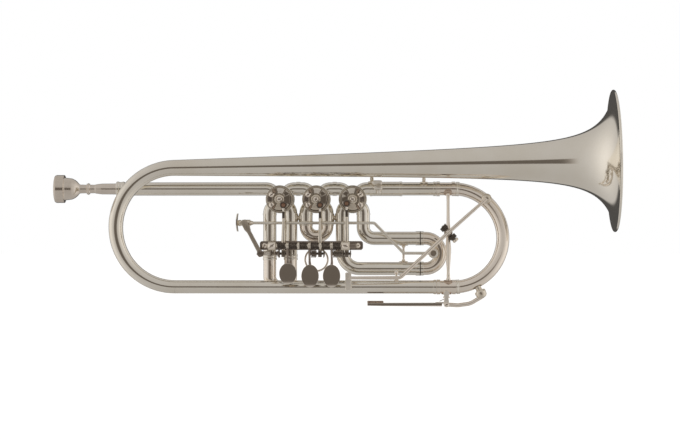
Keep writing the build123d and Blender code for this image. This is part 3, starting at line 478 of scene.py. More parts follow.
silver = metal("silver_polish", (0.90, 0.868, 0.80), 0.10, 0.03, (0.70, 0.62, 0.48), 0.35, 18, 0.02, 1200)
silver_soft = metal("silver_slides", (0.95, 0.88, 0.80), 0.13, 0.04, (0.74, 0.64, 0.50), 0.35, 35, 0.02, 1400)
silver_lever = metal("silver_levers", (0.86, 0.81, 0.72), 0.16, 0.05, (0.60, 0.52, 0.42), 0.4, 60, 0.02, 1600)
silver_work = metal("silver_machine", (0.84, 0.78, 0.68), 0.20, 0.06, (0.50, 0.42, 0.33), 0.55, 160, 0.03,
                    2000)
dark_steel = metal("dark_spring_steel", (0.16, 0.135, 0.115), 0.34, 0.08, (0.07, 0.06, 0.05), 0.6, 220, 0.04,
                   2600)
dark_plate = metal("dark_plate", (0.30, 0.265, 0.23), 0.26, 0.06, (0.16, 0.13, 0.11), 0.5, 120, 0.03, 2200)
bronze = metal("bronze_rotor", (0.66, 0.50, 0.33), 0.28, 0.06, (0.42, 0.30, 0.20), 0.5, 90, 0.03, 1800)
ball_brown = metal("brown_ball", (0.20, 0.11, 0.07), 0.36, 0.06, (0.16, 0.09, 0.05), 0.5, 200, 0.03, 2400,
                   metallic=0.35)
plate_metal = metal("stop_plate_metal", (0.62, 0.56, 0.47), 0.36, 0.06, (0.36, 0.30, 0.24), 0.5, 150, 0.05,
                    2400)
brushed_pad = metal("brushed_pad", (0.84, 0.77, 0.66), 0.42, 0.06, (0.60, 0.52, 0.42), 0.4, 200, 0.06, 2600,
                    (1, 1, 6))
flat_dark = metal("polished_flat", (0.62, 0.57, 0.50), 0.09, 0.03, (0.40, 0.34, 0.28), 0.35, 90, 0.02, 1800)
touch_metal = metal("paddle_silver", (0.88, 0.83, 0.76), 0.07, 0.02, (0.66, 0.58, 0.50), 0.25, 40, 0.01, 1500)
# Painted shade: silver darkened for levers and small parts that sit in shadow behind or under other pieces.
lever_painted_shade = metal("shaded_lever_metal", (0.34, 0.29, 0.25), 0.30, 0.07, (0.15, 0.12, 0.10), 0.6, 180, 0.04,
                   2400)
flange_brown = metal("soldered_flange", (0.66, 0.54, 0.44), 0.30, 0.07, (0.40, 0.29, 0.22), 0.6, 160, 0.04,
                     2200)
mouth_silver = metal("mouthpiece_silver", (0.82, 0.755, 0.68), 0.15, 0.05, (0.52, 0.44, 0.36), 0.5, 120, 0.05,
                     1500, (0.25, 1, 1))
satin = metal("satin_silver", (0.97, 0.93, 0.86), 0.48, 0.06, (0.80, 0.72, 0.60), 0.3, 120, 0.04, 2200)


def cork(name, light, shade):
    """Cork: warm grains with dark pits and no shine."""
    material, tree, shader = blank(name)
    link = tree.links.new
    place = node(tree, "TexCoord")
    cells = node(tree, "TexVoronoi", Scale=900)
    link(place.outputs["Object"], cells.inputs["Vector"])
    cloud = node(tree, "TexNoise", Scale=500, Detail=8)
    link(place.outputs["Object"], cloud.inputs["Vector"])
    blend = node(tree, "Math")
    blend.operation = "MULTIPLY"
    link(cells.outputs["Distance"], blend.inputs[0])
    link(cloud.outputs["Fac"], blend.inputs[1])
    link(ramped(tree, blend.outputs["Value"], (0.05, 0.42), (light, shade)), shader.inputs["Base Color"])
    shader.inputs["Roughness"].default_value = 0.85
    bumped(tree, shader, cloud.outputs["Fac"], 0.5, 0.0002)
    return material


cork_tan = cork("cork", (0.30, 0.225, 0.165), (0.15, 0.105, 0.075))


# ---- pieces with their material and body
# The body, material and slot that many pieces share
horn_bright = ("horn", silver, BODY)
horn_soft = ("horn", silver_soft, BODY)
horn_work = ("horn", silver_work, BODY)
# Painted shade: the darkened lever metal, for horn parts that sit in shadow.
horn_painted_shade = ("horn", lever_painted_shade, BODY)
horn_satin = ("horn", satin, BODY)
main_soft = ("main_tuning", silver_soft, BODY)
main_work = ("main_tuning", silver_work, BODY)


def dress(piece, body, material, slot, *nodes):
    """Gives a piece its material and body, and hides the CAD nodes that it stands for. The slot is not used.
    """
    piece.data.materials.clear()
    piece.data.materials.append(material)
    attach(piece, body)
    nodes = [name for name in nodes if name]
    if nodes:
        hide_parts(*nodes)
    return piece


def spin(name, body, material, slot, points, ease, origin, axis, sides=48, replaced=None, steps=3):
    """A dressed piece turned from corner points of (along, radius). ease is one number for every corner
    but the first and last, or one for each."""
    ease = ease if isinstance(ease, list) else [0] + [ease] * (len(points) - 2) + [0]
    dress(lathe(name, rounded2(points, ease, steps), origin, axis, sides), body, material, slot, replaced)


def panel(name, body, material, slot, outline, origin, depth, ease=0.25, steps=2, replaced=None):
    """A dressed flat piece that faces the player. The origin is on its front."""
    dress(slab(name, outline, origin, RIGHT, UP, -depth, ease, steps), body, material, slot, replaced)


# ---- CAD nodes that show as they are
cad_material = {BODY: silver, SLIDE: silver_soft, LEVER: silver_lever, "rotor_metal": bronze,
                STEEL: dark_steel, CORK: cork_tan}
for row in frame["record"]["subparts"]:
    mesh = frame["nodes"][row["node"]].data
    mesh.materials.clear()
    mesh.materials.append(cad_material[row["material_slot"]])
    smooth(mesh)


# ---- bell, bow and leadpipe
def bell_radius(distance):
    return 14.65 - 0.01813 * distance + 2866.9 / (distance + 20.4) ** 1.358 + 5.6 * math.exp(-distance / 1.4)


def bell_slope(distance):
    return -0.01813 - 1.358 * 2866.9 / (distance + 20.4) ** 2.358 - 4 * math.exp(-distance / 1.4)


distances = [bell_length * (k / 150) ** 2.2 for k in range(151)]
outer = [(bell_length - d, bell_radius(d)) for d in reversed(distances) if d > 1]
inner = []
for d in distances:
    slope = bell_slope(d)
    length = math.sqrt(1 + slope * slope)
    inner.append((max(bell_length - d - bell_wall * slope / length, 0), bell_radius(d) - bell_wall / length))
bead = []
for k in range(19):
    along, out = polar(1.2, 215 - 250 * k / 18)
    bead.append((bell_length + along, bell_radius(0) - 0.4 + out))
bell_profile = outer + bead + [p for p in inner if bell_length - p[0] > 0.9]
dress(lathe("bell", bell_profile, bell_start, bell_line, 160, sharp=60), *horn_bright, "bell_flare",
      "bell_stem")

turn, widths = [], []
for k in range(73):
    x, z = polar(bow_radius, 270 - (180 + math.degrees(tilt)) * k / 72)
    turn.append(vec(bow_x + x, 0, bow_centre_z + z))
    widths.append(outer_tube + (bell_radius(bell_length) - outer_tube) * k / 72)
dress(tube("bell_bow", turn, widths, bell_wall, 96), *horn_bright, "bell_bow")
pipe_line = [vec(-206.8, valve_y, lead_z), vec(valve_x[0] - stub_end, valve_y, lead_z)]
dress(tube("leadpipe", pipe_line, 6.45, 0.6), *horn_bright, "leadpipe")

# ---- valves: plates, corks, stop arms, links
for index, (x, side) in enumerate(zip(valve_x, valve_side)):
    n = index + 1
    valve, link_body = f"valve_{n}", f"linkage_{n}"
    # Plate: turned disc with a raised edge, standing on the casing's front
    spin(f"stop_plate_{n}", "horn", plate_metal, BODY,
         [(0, 3.05), (0, plate_radius), (-2.9, plate_radius), (-3.4, plate_radius - 0.5),
          (-3.4, plate_radius - 1.3), (-2.6, plate_radius - 1.7), (-2.55, 3.05)],
         [0, 0.3, 0.3, 0.25, 0.3, 0.3, 0.1],
         (x, casing_front, rotor_z), BACK, 128, f"stop_plate_{n}")
    dress(knurled(f"plate_edge_{n}", (x, casing_front - 2.6, rotor_z), BACK, plate_radius + 0.25, 2, 90,
                  0.22), *horn_work)
    # Cork holder with its two clamp screws
    panel(f"cork_holder_{n}", *horn_work, sector(side, 6.6, 11.3, 132, 228),
          (x, plate_front - 0.9, rotor_z), 0.9, 0.2)
    # A dark strip over the middle of the holder stands for the gap between its halves: painted shade.
    panel(f"holder_shade_strip_{n}", *horn_painted_shade, sector(side, 7.2, 11.6, 164, 194, 10),
          (x, plate_front - 1.1, rotor_z), 0.4, 0.1)
    panel(f"plate_pad_{n}", *horn_satin, sector(side, 5.6, 10.9, 62, 104),
          (x, plate_front - 0.6, rotor_z), 0.6, 0.2)
    for k, (sx, sz) in enumerate(((-7.6, 4.4), (-7.4, -5.6))):
        head = dome(f"cork_screw_{n}_{k}", (x + side * sx, plate_front - 0.85, rotor_z + sz), 2.75, 1.7,
                    40 + 70 * k)
        dress(head, *horn_soft, "small_screws" if n == 1 and k == 0 else None)
    for k, angle in enumerate((123, 237)):
        panel(f"cork_{n}_{k}", "horn", cork_tan, CORK, sector(side, 7.6, 11.4, angle - 5, angle + 5, 8),
              (x, -3.1, rotor_z), 3.6, 0.35, 3, "corks" if n == 1 and k == 0 else None)

    # Stop arm: sector, tail, hub, centre screw and ball stud
    panel(f"stop_sector_{n}", valve, flat_dark, LEVER, sector(side, 3.4, 10.8, -32, 27.5, 16),
          (x, -3, rotor_z), 2, 0.12, 2, f"stop_arm_{n}")
    panel(f"stop_tail_{n}", valve, brushed_pad, LEVER, sector(side, 3.4, 10.6, -117.5, -32, 20),
          (x, -2.8, rotor_z), 1.8, 0.3, 3)
    panel(f"plate_flat_{n}", "horn", flat_dark, BODY, sector(side, 5.6, 11.2, 14, 54),
          (x, plate_front - 0.7, rotor_z), 0.7, 0.15)
    spin(f"stop_hub_{n}", valve, silver_work, LEVER,
         [(0, 0), (0, 4.6), (2.4, 4.6), (3, 4), (3.2, 2.9), (2.9, 2.7), (2.9, 0)],
         [0, 0.2, 0.4, 0.3, 0.1, 0.1, 0], (x, -0.6, rotor_z), FRONT, 64)
    dress(dome(f"hub_screw_{n}", (x, -3.3, rotor_z), 2.45, 0.9, 25 + 50 * index), valve, silver_soft, LEVER)
    bx, bz = polar(ball_arm, ball_angle[index])
    centre = vec(x + side * bx, link_y, rotor_z + bz)
    spin(f"ball_neck_{n}", valve, silver_work, LEVER,
         [(0, 0), (0, 2.2), (0.6, 2.2), (1, 1.2), (2.4, 1.2), (2.4, 0)],
         [0, 0.1, 0.3, 0.3, 0, 0], centre + vec(0, 2.3, 0), FRONT, 32)
    dress(ball(f"ball_{n}", centre, 2.28), valve, ball_brown, LEVER)

    # Link: eye ring, neck, hexagon adjuster with lock nut, rod, and the lower slotted block
    spin(f"link_eye_{n}", link_body, dark_plate, LEVER,
         [(-1.3, 2.3), (-1.3, 3.4), (1.3, 3.4), (1.3, 2.3)], [0.25] * 4, centre, FRONT, 48, f"link_{n}")
    lx, lz = centre.x, centre.z
    spin(f"link_neck_{n}", link_body, satin, STEEL, [(0, 0), (0, 1.5), (1.2, 1.15), (3.2, 1.15), (3.2, 0)],
         [0, 0.1, 0.3, 0.1, 0], (lx, link_y, lz - 3.2), DOWN, 32)
    for name, look, slot, hex_radius, turned_by, top, tall in (
            ("link_sleeve", dark_steel, STEEL, 1.3, 0, 6.2, 6.9),
            ("link_nut", silver_work, LEVER, 1.65, 30, 12.9, 1.3)):
        hexagon = [polar(hex_radius, turned_by + 60 * k) for k in range(6)]
        nut = slab(f"{name}_{n}", hexagon, (lx, link_y, lz - top), RIGHT, BACK, -tall, 0.2)
        dress(nut, link_body, look, slot)
    heights = (lz - 13, lz - 20, link_bottom_z + 12, link_bottom_z + 3)
    shaft = tube(f"link_rod_{n}", [vec(lx, link_y, z) for z in heights], [1.15, 1.3, 2, 1.6], sides=32)
    dress(shaft, link_body, silver_lever, LEVER)
    bottom = slab(f"link_block_{n}", rounded2([(-4.2, 3.4), (-4.2, -3.4), (4.2, -3.4), (4.2, 3.4)], 1.6, 4),
                  (lx + 1.7, link_y, link_bottom_z), FRONT, UP, 3.4, 0.3)
    carve(bottom, slab("cut", slot_outline(6, 2.1), (lx + 3, link_y, link_bottom_z), FRONT, UP, 6, 0))
    dress(bottom, link_body, dark_plate, LEVER)

# ---- casing bands and rear caps
for n, x in enumerate(valve_x, 1):
    for k, (y, width) in enumerate(((casing_front + 0.1, 1.5), (casing_back - 1.9, 1.7))):
        spin(f"casing_band_{n}_{k}", *horn_bright, [(0, 12.6), (0, 13.6), (width, 13.6), (width, 12.6)],
             [0, 0.4, 0.4, 0], (x, y, rotor_z), BACK, 96)
    spin(f"valve_cap_{n}", *horn_satin,
         [(0, 4.3), (0, 13.25), (3.2, 13.25), (4, 12.3), (4, 9.2), (3.3, 8.6), (3.3, 3.4), (3.7, 3), (3.7, 0),
          (2.4, 0), (2.4, 4.3)], [0, 0.2, 0.7, 0.5, 0.3, 0.3, 0.2, 0.2, 0, 0, 0.2],
         (x, casing_back, rotor_z), BACK, 96, "valve_caps" if n == 1 else None)
    dress(knurled(f"cap_grip_{n}", (x, casing_back + 0.5, rotor_z), BACK, 13.55, 2, 96, 0.22), *horn_work)

# ---- mouthpiece and receiver
rim_x = -275.2
lead_spot = (0, valve_y, lead_z)
cup_line = [(rim_x + 2.4, 9), (rim_x + 0.3, 10.2), (rim_x, 11.4), (rim_x + 0.5, 13.1), (rim_x + 2.2, 13.65),
            (-265.5, 13.65), (-265.2, 11.5), (-264.2, 11.05), (-258, 10.3), (-254.2, 8.3), (-250.6, 4.35),
            (-244.1, 4.15), (-243.3, 5.3), (-242.2, 5.75), (-241.1, 5.3), (-240.3, 4.2), (-235.6, 4.1),
            (-234.8, 4.5), (-229, 5.25), (-214.4, 5.4), (-190, 4.95), (-190, 4.2), (-246, 1.85),
            (-251, 1.85), (-254.5, 3.6), (-262, 7.4), (-270.5, 8.4)]
cup_ease = [1.2, 1, 1, 1, 1.2, 0.35, 0.3, 0.5, 6, 9, 2, 0.3, 0.6, 0.6, 0.6, 0.3, 0.4, 0.4, 4, 1,
            0.3, 0.3, 0, 2, 4, 9, 3]
dress(lathe("mouthpiece", rounded2(cup_line, cup_ease, 6), lead_spot, RIGHT, 112, sharp=40), "mouth_piece",
      mouth_silver, BODY, "mouthpiece")
spin("receiver", *horn_bright,
     [(-214.6, 5.44), (-214.6, 6.7), (-214, 7.25), (-212.2, 7.25), (-211.6, 6.75), (-209, 6.75),
      (-208.4, 7.15), (-206.8, 7.15), (-206.8, 5.9), (-186, 5.9), (-186, 4.99), (-190, 4.99)],
     [0.1, 0.3, 0.4, 0.4, 0.3, 0.3, 0.3, 0.3, 0, 0, 0, 0], lead_spot, RIGHT, 96, "receiver")

# ---- finger levers and their axle
paddle_wide = 8.4
paddle_high = (10.2, 10.9, 10.9)
paddle_shift = (0.9, 0.9, 0.2)
paddle_drop = (0, 0.9, 0.9)
pin_y = link_y - 0.8
pin_reach = (-10.6, 14.4, 18.6)
rib_radius, groove_radius = 4, 2.9
for index in range(3):
    n = index + 1
    body = f"finger_{n}"
    hx, pz = hub_x[index], paddle_z[index]
    px = hx + paddle_shift[index]
    eye_x = valve_x[index] + valve_side[index] * polar(ball_arm, ball_angle[index])[0]
    # Paddle: a thin oval plate with an eased edge and a shallow boss behind it
    oval = [(paddle_wide * math.cos(math.radians(5 * k)), paddle_high[index] * math.sin(math.radians(5 * k)))
            for k in range(72)]
    pad = slab(f"paddle_{n}", oval, (px, paddle_y - 1.5, pz - paddle_drop[index]), RIGHT, UP, -1.5, 0)
    eased = pad.modifiers.new("ease", "BEVEL")
    eased.width = 0.22 * MM
    eased.segments = 4
    eased.limit_method = "ANGLE"
    eased.angle_limit = math.radians(60)
    settle(pad)
    dress(pad, body, touch_metal, LEVER, f"lever_{n}")
    spin(f"paddle_boss_{n}", body, lever_painted_shade, LEVER, [(0, 0), (0, 3.4), (0.9, 2.6), (0.9, 0)],
         [0, 0.2, 0.4, 0], (px, paddle_y, pz + 4.6), BACK, 40)
    # Arm: a bar that sweeps down from the hub and broadens behind the paddle
    arm_line = rounded([vec(hx, axle_y - 1.4, axle_z - 1.6), vec(hx + 0.5, axle_y - 4.2, pz + 12.5),
                        vec(px, paddle_y + 0.9, pz + 8), vec(px, paddle_y + 0.9, pz + 3.2)], 6, 8)
    widths = [1.05 + 0.45 * k / (len(arm_line) - 1) for k in range(len(arm_line))]
    dress(tube(f"lever_arm_{n}", arm_line, widths, sides=24), body, lever_painted_shade, LEVER)
    # Hub: a turned barrel with a bead each side
    spin(f"lever_hub_{n}", body, silver_lever, LEVER,
         [(-1.25, 1.6), (-1.25, 3.35), (-0.6, 3.35), (-0.35, 3), (0.35, 3), (0.6, 3.35), (1.25, 3.35),
          (1.25, 1.6)], [0, 0.2, 0.1, 0.1, 0.1, 0.1, 0.2, 0], (hx, axle_y, axle_z), RIGHT)
    # Crank: a tapered bar back to the link's pin
    crank = vec(0, pin_y - axle_y, link_bottom_z - axle_z)
    ahead = crank.normalized()
    reach = crank.length + 1.9
    bar = slab(f"lever_crank_{n}", rounded2([(1.6, 1.75), (1.6, -1.75), (reach, -1.5), (reach, 1.5)], 1.3, 6),
               (hx - 1.05, axle_y, axle_z), ahead, vec(0, -ahead.z, ahead.y), 2.1, 0.3)
    dress(bar, body, lever_painted_shade, LEVER)
    step = 1 if pin_reach[index] > 0 else -1
    tip = hx + pin_reach[index]
    rodlet = collar(f"crank_pin_{n}", (hx, pin_y, link_bottom_z), (tip, pin_y, link_bottom_z), 1.2, 0.2, 32)
    dress(rodlet, body, dark_steel, LEVER)
    # Ribbed spacers on the pin, each side of the link's eye
    gap_in, gap_out = eye_x - step * 3.3, eye_x + step * 3.3
    runs = [(gap_out, tip - step * 0.2)]
    if (gap_in - hx) * step > 2:
        runs.append((hx + step * 1.3, gap_in))
    for which, (first, last) in enumerate(runs):
        length = abs(last - first)
        ribs = max(int(length / 1.25), 1)
        pitch = length / ribs
        points = [(0, 1.25)]
        for k in range(ribs):
            points += [(pitch * k, rib_radius), (pitch * (k + 0.6), rib_radius),
                       (pitch * (k + 0.6), groove_radius), (pitch * (k + 1), groove_radius)]
        points.append((length, 1.25))
        spin(f"pin_spacer_{n}_{which}", body, dark_plate, LEVER, points, [0.12] * len(points),
             (first, pin_y, link_bottom_z), (last - first, 0, 0), 40, steps=2)

axle_left_x, axle_right_x = -64.6, 22
axle = collar("lever_axle", (axle_left_x + 0.2, axle_y, axle_z), (axle_right_x, axle_y, axle_z), 1.5,
              0.25, 40)
dress(axle, "horn", silver_work, STEEL, "lever_axle")
for k, x in enumerate((axle_left_x, axle_right_x - 1)):
    spin(f"axle_end_{k}", "horn", silver_work, STEEL, [(0, 0), (0, 2.3), (1.2, 2.3), (1.2, 0)], 0.4,
         (x, axle_y, axle_z), RIGHT)
collar_line = rounded2([(-1, 1.55), (-1, 3.3), (-0.4, 3.5), (0.4, 3.5), (1, 3.3), (1, 1.55)],
                       [0, 0.3, 0.3, 0.3, 0.3, 0])
rings = [lathe("c", collar_line, (x, axle_y, axle_z), RIGHT, 48) for x in (-34.5, -13.4)]
dress(joined("axle_collars", rings), "horn", silver_lever, BODY, "axle_collars")
coils = [helix("c", (middle - 3.9, axle_y, axle_z), RIGHT, 2.8, 0.56, 6, 1.3)
         for middle in (-50.9, -39.9, -29.8, -18.8, -8, 2.3)]
dress(joined("lever_springs", coils, 60), "horn", dark_steel, STEEL, "lever_springs")

# ---- hinge plate and posts
plate_y = 3
plate_thick = 2.2
panel("hinge_plate", *horn_painted_shade, box(-73.2, -4.3, 27.1, 4.3, 2.4, 8), (0, plate_y, axle_z),
      plate_thick, 0.35, 3, "hinge_plate")
leg_one_x = valve_x[0] - port
for k, x in enumerate((leg_one_x, valve_x[2] - port)):
    panel(f"hinge_foot_{k}", *horn_work, box(-3.5, -2.5, 3.5, 2.5, 0.6),
          (x, plate_y + plate_thick, axle_z), 4.8, 0.2)
for k, x in enumerate((-68.6, 22)):
    dress(dome(f"hinge_screw_{k}", (x, plate_y, axle_z), 2.6, 1.5, 70 - 50 * k), *horn_soft)
spin("hinge_post_0", *horn_work,
     [(0, 0), (0, 3.4), (1.2, 3.4), (1.9, 2.3), (8.5, 1.9), (14, 1.9), (15.2, 2.8), (18, 2.8), (18, 0)],
     [0, 0.3, 0.4, 0.8, 3, 0.8, 0.6, 0.3, 0], (-60, plate_y, axle_z), FRONT, 48, "hinge_post_left")
dress(collar("hinge_post_1", (18.4, plate_y, axle_z), (18.4, axle_y + 3, axle_z), 1.95), *horn_work,
      "hinge_post_right")
head_middle = axle_y + 0.3
for k, (x, wide) in enumerate(((-60, 3.6), (10.6, 4.2))):
    block = slab(f"hinge_block_{k}", box(-3.6, -4.1, 3.4, 4.1, 2.9, 8), (x - wide, head_middle, axle_z),
                 BACK, UP, 2 * wide, 0.5, 3)
    dress(block, *horn_work)
    dress(dome(f"hinge_crown_{k}", (x, head_middle - 3.3, axle_z), 3.4, 2, 40 - 60 * k), *horn_soft)
    for j, offset in enumerate((-wide * 0.62, wide * 0.62)):
        spin(f"hinge_bead_{k}_{j}", "horn", silver_lever, BODY,
             [(-0.7, 0), (-0.7, 4.3), (0.7, 4.3), (0.7, 0)], [0, 0.45, 0.45, 0],
             (x + offset, head_middle, axle_z), RIGHT, 56)
dress(collar("hinge_neck", (14.6, axle_y, axle_z), (20.8, axle_y, axle_z), 2.7, 0.5), *horn_painted_shade)

# ---- trigger
rod_y, rod_z = 6, -23.8
boss_x, boss_z = 95.5, -53.2
pivot_x, pivot_z = -72.3, -53.4
pin_x = -88
# Thumb saddle: a waisted plate, bent along its length and dished across
rows, columns, thumb_half = 25, 9, 5.3
verts = []
for thick in (0, 1.1):
    for k in range(rows):
        up = -8.7 + 17.4 * k / (rows - 1)
        half = thumb_half * (1 - 0.45 * abs(up / 8.7) ** 3)
        bend = 1.7 * (up / 8.7) ** 2
        for j in range(columns):
            across = -half + 2 * half * j / (columns - 1)
            dish = 0.5 * (across / thumb_half) ** 2
            verts.append(vec(-96.3 + thick + bend * 0.5 - dish * 0.3, rod_y + across, rod_z + 0.5 + up))
skin = rows * columns
faces = []
for i in range(rows - 1):
    for j in range(columns - 1):
        a = i * columns + j
        for b in (a, a + skin):
            faces.append((b, b + 1, b + columns + 1, b + columns))
rim = list(range(columns)) + [i * columns + columns - 1 for i in range(1, rows)]
rim += list(range(skin - 2, skin - columns - 1, -1)) + [i * columns for i in range(rows - 2, 0, -1)]
for a, b in zip(rim, rim[1:] + rim[:1]):
    faces.append((a, b, b + skin, a + skin))
dress(make("trigger_saddle", verts, faces, 50), "third_tuning", silver_work, LEVER, "trigger_rod")
spin("trigger_barrel", "third_tuning", silver_work, LEVER,
     [(-95.6, 0), (-95.6, 2.4), (-93.2, 3), (-92, 3), (-91.6, 2.6), (-90.4, 2.6), (-90, 3.2), (-83, 3.2),
      (-82.4, 2.5), (-81, 1.9), (-79.6, 1.5), (-79.6, 0)],
     [0, 0.3, 0.5, 0.3, 0.2, 0.2, 0.4, 0.5, 0.6, 0.8, 0.4, 0], (0, rod_y, rod_z), RIGHT, 56)
wire = rounded([vec(-82.7, rod_y, rod_z), vec(38.1, rod_y, rod_z), vec(66.8, rod_y, boss_z),
                vec(boss_x - 3.6, rod_y, boss_z)], 4, 10)
dress(tube("trigger_wire", wire, 1.4, sides=28), "third_tuning", silver, LEVER)
spin("trigger_eye", "third_tuning", satin, LEVER,
     [(-1.3, 2.05), (-1.3, 4.6), (-0.8, 4.9), (0.8, 4.9), (1.3, 4.6), (1.3, 2.05)], 0.3,
     (boss_x, rod_y, boss_z), BACK, 64)
spin("trigger_pin", "third_tuning", lever_painted_shade, LEVER,
     [(0, 0), (0, 1.3), (8.2, 1.3), (8.2, 2.5), (8.9, 2.5), (8.9, 0)], [0, 0, 0, 0.3, 0.3, 0],
     (pin_x, rod_y, rod_z), FRONT, 40)
# Swing arm: its slotted end takes the pin, and its front is closed over the slot
arm_far = math.hypot(pin_x - pivot_x, rod_z - pivot_z)
arm_near = rod_z - pivot_z
lean = math.asin((pivot_x - pin_x) / arm_far)
along = vec(-math.sin(lean), 0, math.cos(lean))
across = vec(-along.z, 0, along.x)
end_at = (arm_near + arm_far) / 2 - 0.2
half_slot = (arm_far - arm_near) / 2
far_end = end_at + half_slot + 2.6
outline = [(-3.3, -1.2), (-2.2, -2.9), (0.6, -3.2), (3.4, -2), (arm_near - 6, -1.9), (arm_near - 2.4, -2.95),
           (far_end, -2.95), (far_end + 1.1, 0), (far_end, 2.95), (arm_near - 2.4, 2.95),
           (arm_near - 6, 1.9), (3.4, 2), (0.6, 3.2), (-2.2, 2.9), (-3.3, 1.2)]
swing = slab("trigger_arm", rounded2(outline, 1.4, 5), (pivot_x, -3.9, pivot_z), along, across, -4.1, 0.35, 3)
carve(swing, slab("cut", slot_outline(2 * half_slot + 5.4, 2.6),
                  (pivot_x + along.x * end_at, -3.2, pivot_z + along.z * end_at), along, across, -6, 0))
dress(swing, "trigger_swing", plate_metal, LEVER, "trigger_arm")
spin("trigger_bolt", *horn_painted_shade, [(0, 0), (0, 1.5), (5, 1.5), (5, 0)], 0,
     (pivot_x, 0.5, pivot_z), FRONT, 48, "trigger_bracket")
panel("trigger_bolt_head", *horn_painted_shade, [polar(3.7, 12 + 60 * k) for k in range(6)],
      (pivot_x, -5.6, pivot_z), 1.6, 0.35, 3)
spin("trigger_post", *horn_painted_shade,
     [(0, 0), (0, 2.4), (1.2, 2.4), (1.8, 1.9), (4.2, 1.9), (4.8, 2.4), (6.4, 2.4), (6.4, 0)],
     [0, 0.3, 0.3, 0.3, 0.3, 0.3, 0.2, 0], (pivot_x, 7, pivot_z), FRONT)
panel("trigger_tab", *horn_satin, box(-3, -2.1, leg_one_x - pivot_x + 0.6, 2.1, 1.2),
      (pivot_x, 5.7, pivot_z), 3.2, 0.3)
for k, x in enumerate((leg_one_x + 6.9, leg_one_x - 6.5)):
    spin(f"leg_nut_{k}", *horn_painted_shade, [(0, 0), (0, 1.9), (2.4, 1.9), (2.4, 0)], 0.3,
         (x, 9.6, pivot_z), FRONT, 24)

# ---- braces
for k, (left, right) in enumerate(zip(valve_x, valve_x[1:])):
    a, b = left + port, right - port
    post = baluster(f"leg_brace_{k}", (a + 5.6, valve_y, -18.8), (b - 5.6, valve_y, -18.8), 1.5, 2.3)
    dress(post, *horn_work, None if k else "leg_braces")
    for j, (x, out) in enumerate(((a, 1), (b, -1))):
        foot = saddle(f"leg_flange_{k}_{j}", (x, valve_y, -18.8), UP, (out, 0, 0), outer_tube, 4.2)
        dress(foot, *horn_work)
brace_x = 66.5
post = baluster("third_outer_brace", (brace_x, valve_y, third_lower_z + 5.8),
                (brace_x, valve_y, third_upper_z - 5.8), 1, 1.25, 0.9)
dress(post, *horn_soft, "third_outer_brace")
for j, (z, out) in enumerate(((third_lower_z, UP), (third_upper_z, DOWN))):
    dress(saddle(f"third_flange_{j}", (brace_x, valve_y, z), RIGHT, out, outer_tube, 4.3), *horn_work)
for name, x, waist, leg in (("front_bell_brace", 86.3, 1.2, outer_tube), ("rear_bell_brace", 35.6, 1.3, 6.9)):
    along_bell = (x - bell_start.x) / math.cos(tilt)
    top = vec(x, 0, bell_start.z + along_bell * math.sin(tilt))
    low = vec(x, valve_y, lead_z)
    line = (low - top).normalized()
    local = bell_radius(bell_length - along_bell)
    post = baluster(name, top + line * (local - 0.5), low - line * (leg - 0.5), waist, waist + 0.5, 0.5)
    dress(post, *horn_work, name)
    dress(saddle(f"{name}_top", top, bell_line, line, local, 3.6), *horn_work)
    dress(saddle(f"{name}_foot", low, RIGHT, -line, leg, 3.9), *horn_work)

# ---- lyre holder: two clamp blocks and a thumb screw
lyre_x, lyre_z = 42.4, 12.6
for k, (dx, dz, wide, high) in enumerate(((-1.5, 2.7, 4.9, 2.3), (-0.7, -2.2, 4.4, 2.1))):
    part = slab(f"lyre_block_{k}", box(-wide, -high, wide, high, 1.9, 6),
                (lyre_x + dx, 0.4 + 0.2 * k, lyre_z + dz), RIGHT, UP, -6.6, 1.5, 6)
    carve(part, collar("cut", (lyre_x, -2, lyre_z), (lyre_x, 6.6, lyre_z), 2.4, 0))
    dress(part, *horn_satin, None if k else "lyre_holder")
dress(knurled("lyre_screw", (lyre_x, 4, lyre_z - 4.6), DOWN, 2.8, 3.2, 18, 0.25), *horn_satin, "lyre_screw")


# ---- ferrules and joints of the slides
def joint(name, start, end, radius, inner, body, groove=0):
    dress(ring_band(name, start, end, radius, inner, 0.35, groove), body, silver, SLIDE)


def upright_joint(name, x, z, along, radius, inner, body):
    joint(name, (x, valve_y, z), (x, valve_y, z + along), radius, inner, body)


for k, (y, z, lean_z) in enumerate(((valve_y, lead_z, -0.1), (0, bottom_z, 0.1))):
    near = main_joint_x + slide_gap
    joint(f"main_ring_near_{k}", (near, y, z), (near + 3.3, y, z), 7.2, 6.2, "main_tuning", 0.35)
    joint(f"main_ring_far_{k}", (117.4, y, z + lean_z), (120.7, y, z + 3 * lean_z), 7, 5.9,
          "main_tuning", 0.35)
    joint(f"main_outer_ring_{k}", (main_joint_x - 2.8, y, z), (main_joint_x, y, z), 7, 6.3, "horn")
for k, z in enumerate((third_upper_z, third_lower_z)):
    near = third_joint_x + slide_gap
    joint(f"third_outer_ring_{k}", (third_joint_x - 4, valve_y, z), (third_joint_x, valve_y, z),
          6.85, 6.3, "horn")
    joint(f"third_slide_ring_{k}", (near, valve_y, z), (near + 3.4, valve_y, z), 6.8, 6.1, "third_tuning")
    mark = ring_band(f"third_gap_{k}", (third_joint_x + 0.02, valve_y, z), (near + 0.5, valve_y, z),
                     6.9, 5.95, 0)
    dress(mark, "third_tuning", dark_steel, SLIDE)
for k, side in enumerate((-1, 1)):
    x = valve_x[0] + side * port
    upright_joint(f"first_outer_ring_{k}", x, first_joint_z, 2.6, 6.85, 6.3, "horn")
    upright_joint(f"first_slide_ring_{k}", x, first_joint_z - slide_gap, -2.6, 6.85, 6.1, "first_tuning")
    x = valve_x[1] + side * port
    upright_joint(f"second_outer_ring_{k}", x, second_joint_z, 2.2, 6.8, 6.3, "horn")
    upright_joint(f"second_slide_ring_{k}", x, second_joint_z - slide_gap, -1.8, 6.7, 6.1, "second_tuning")
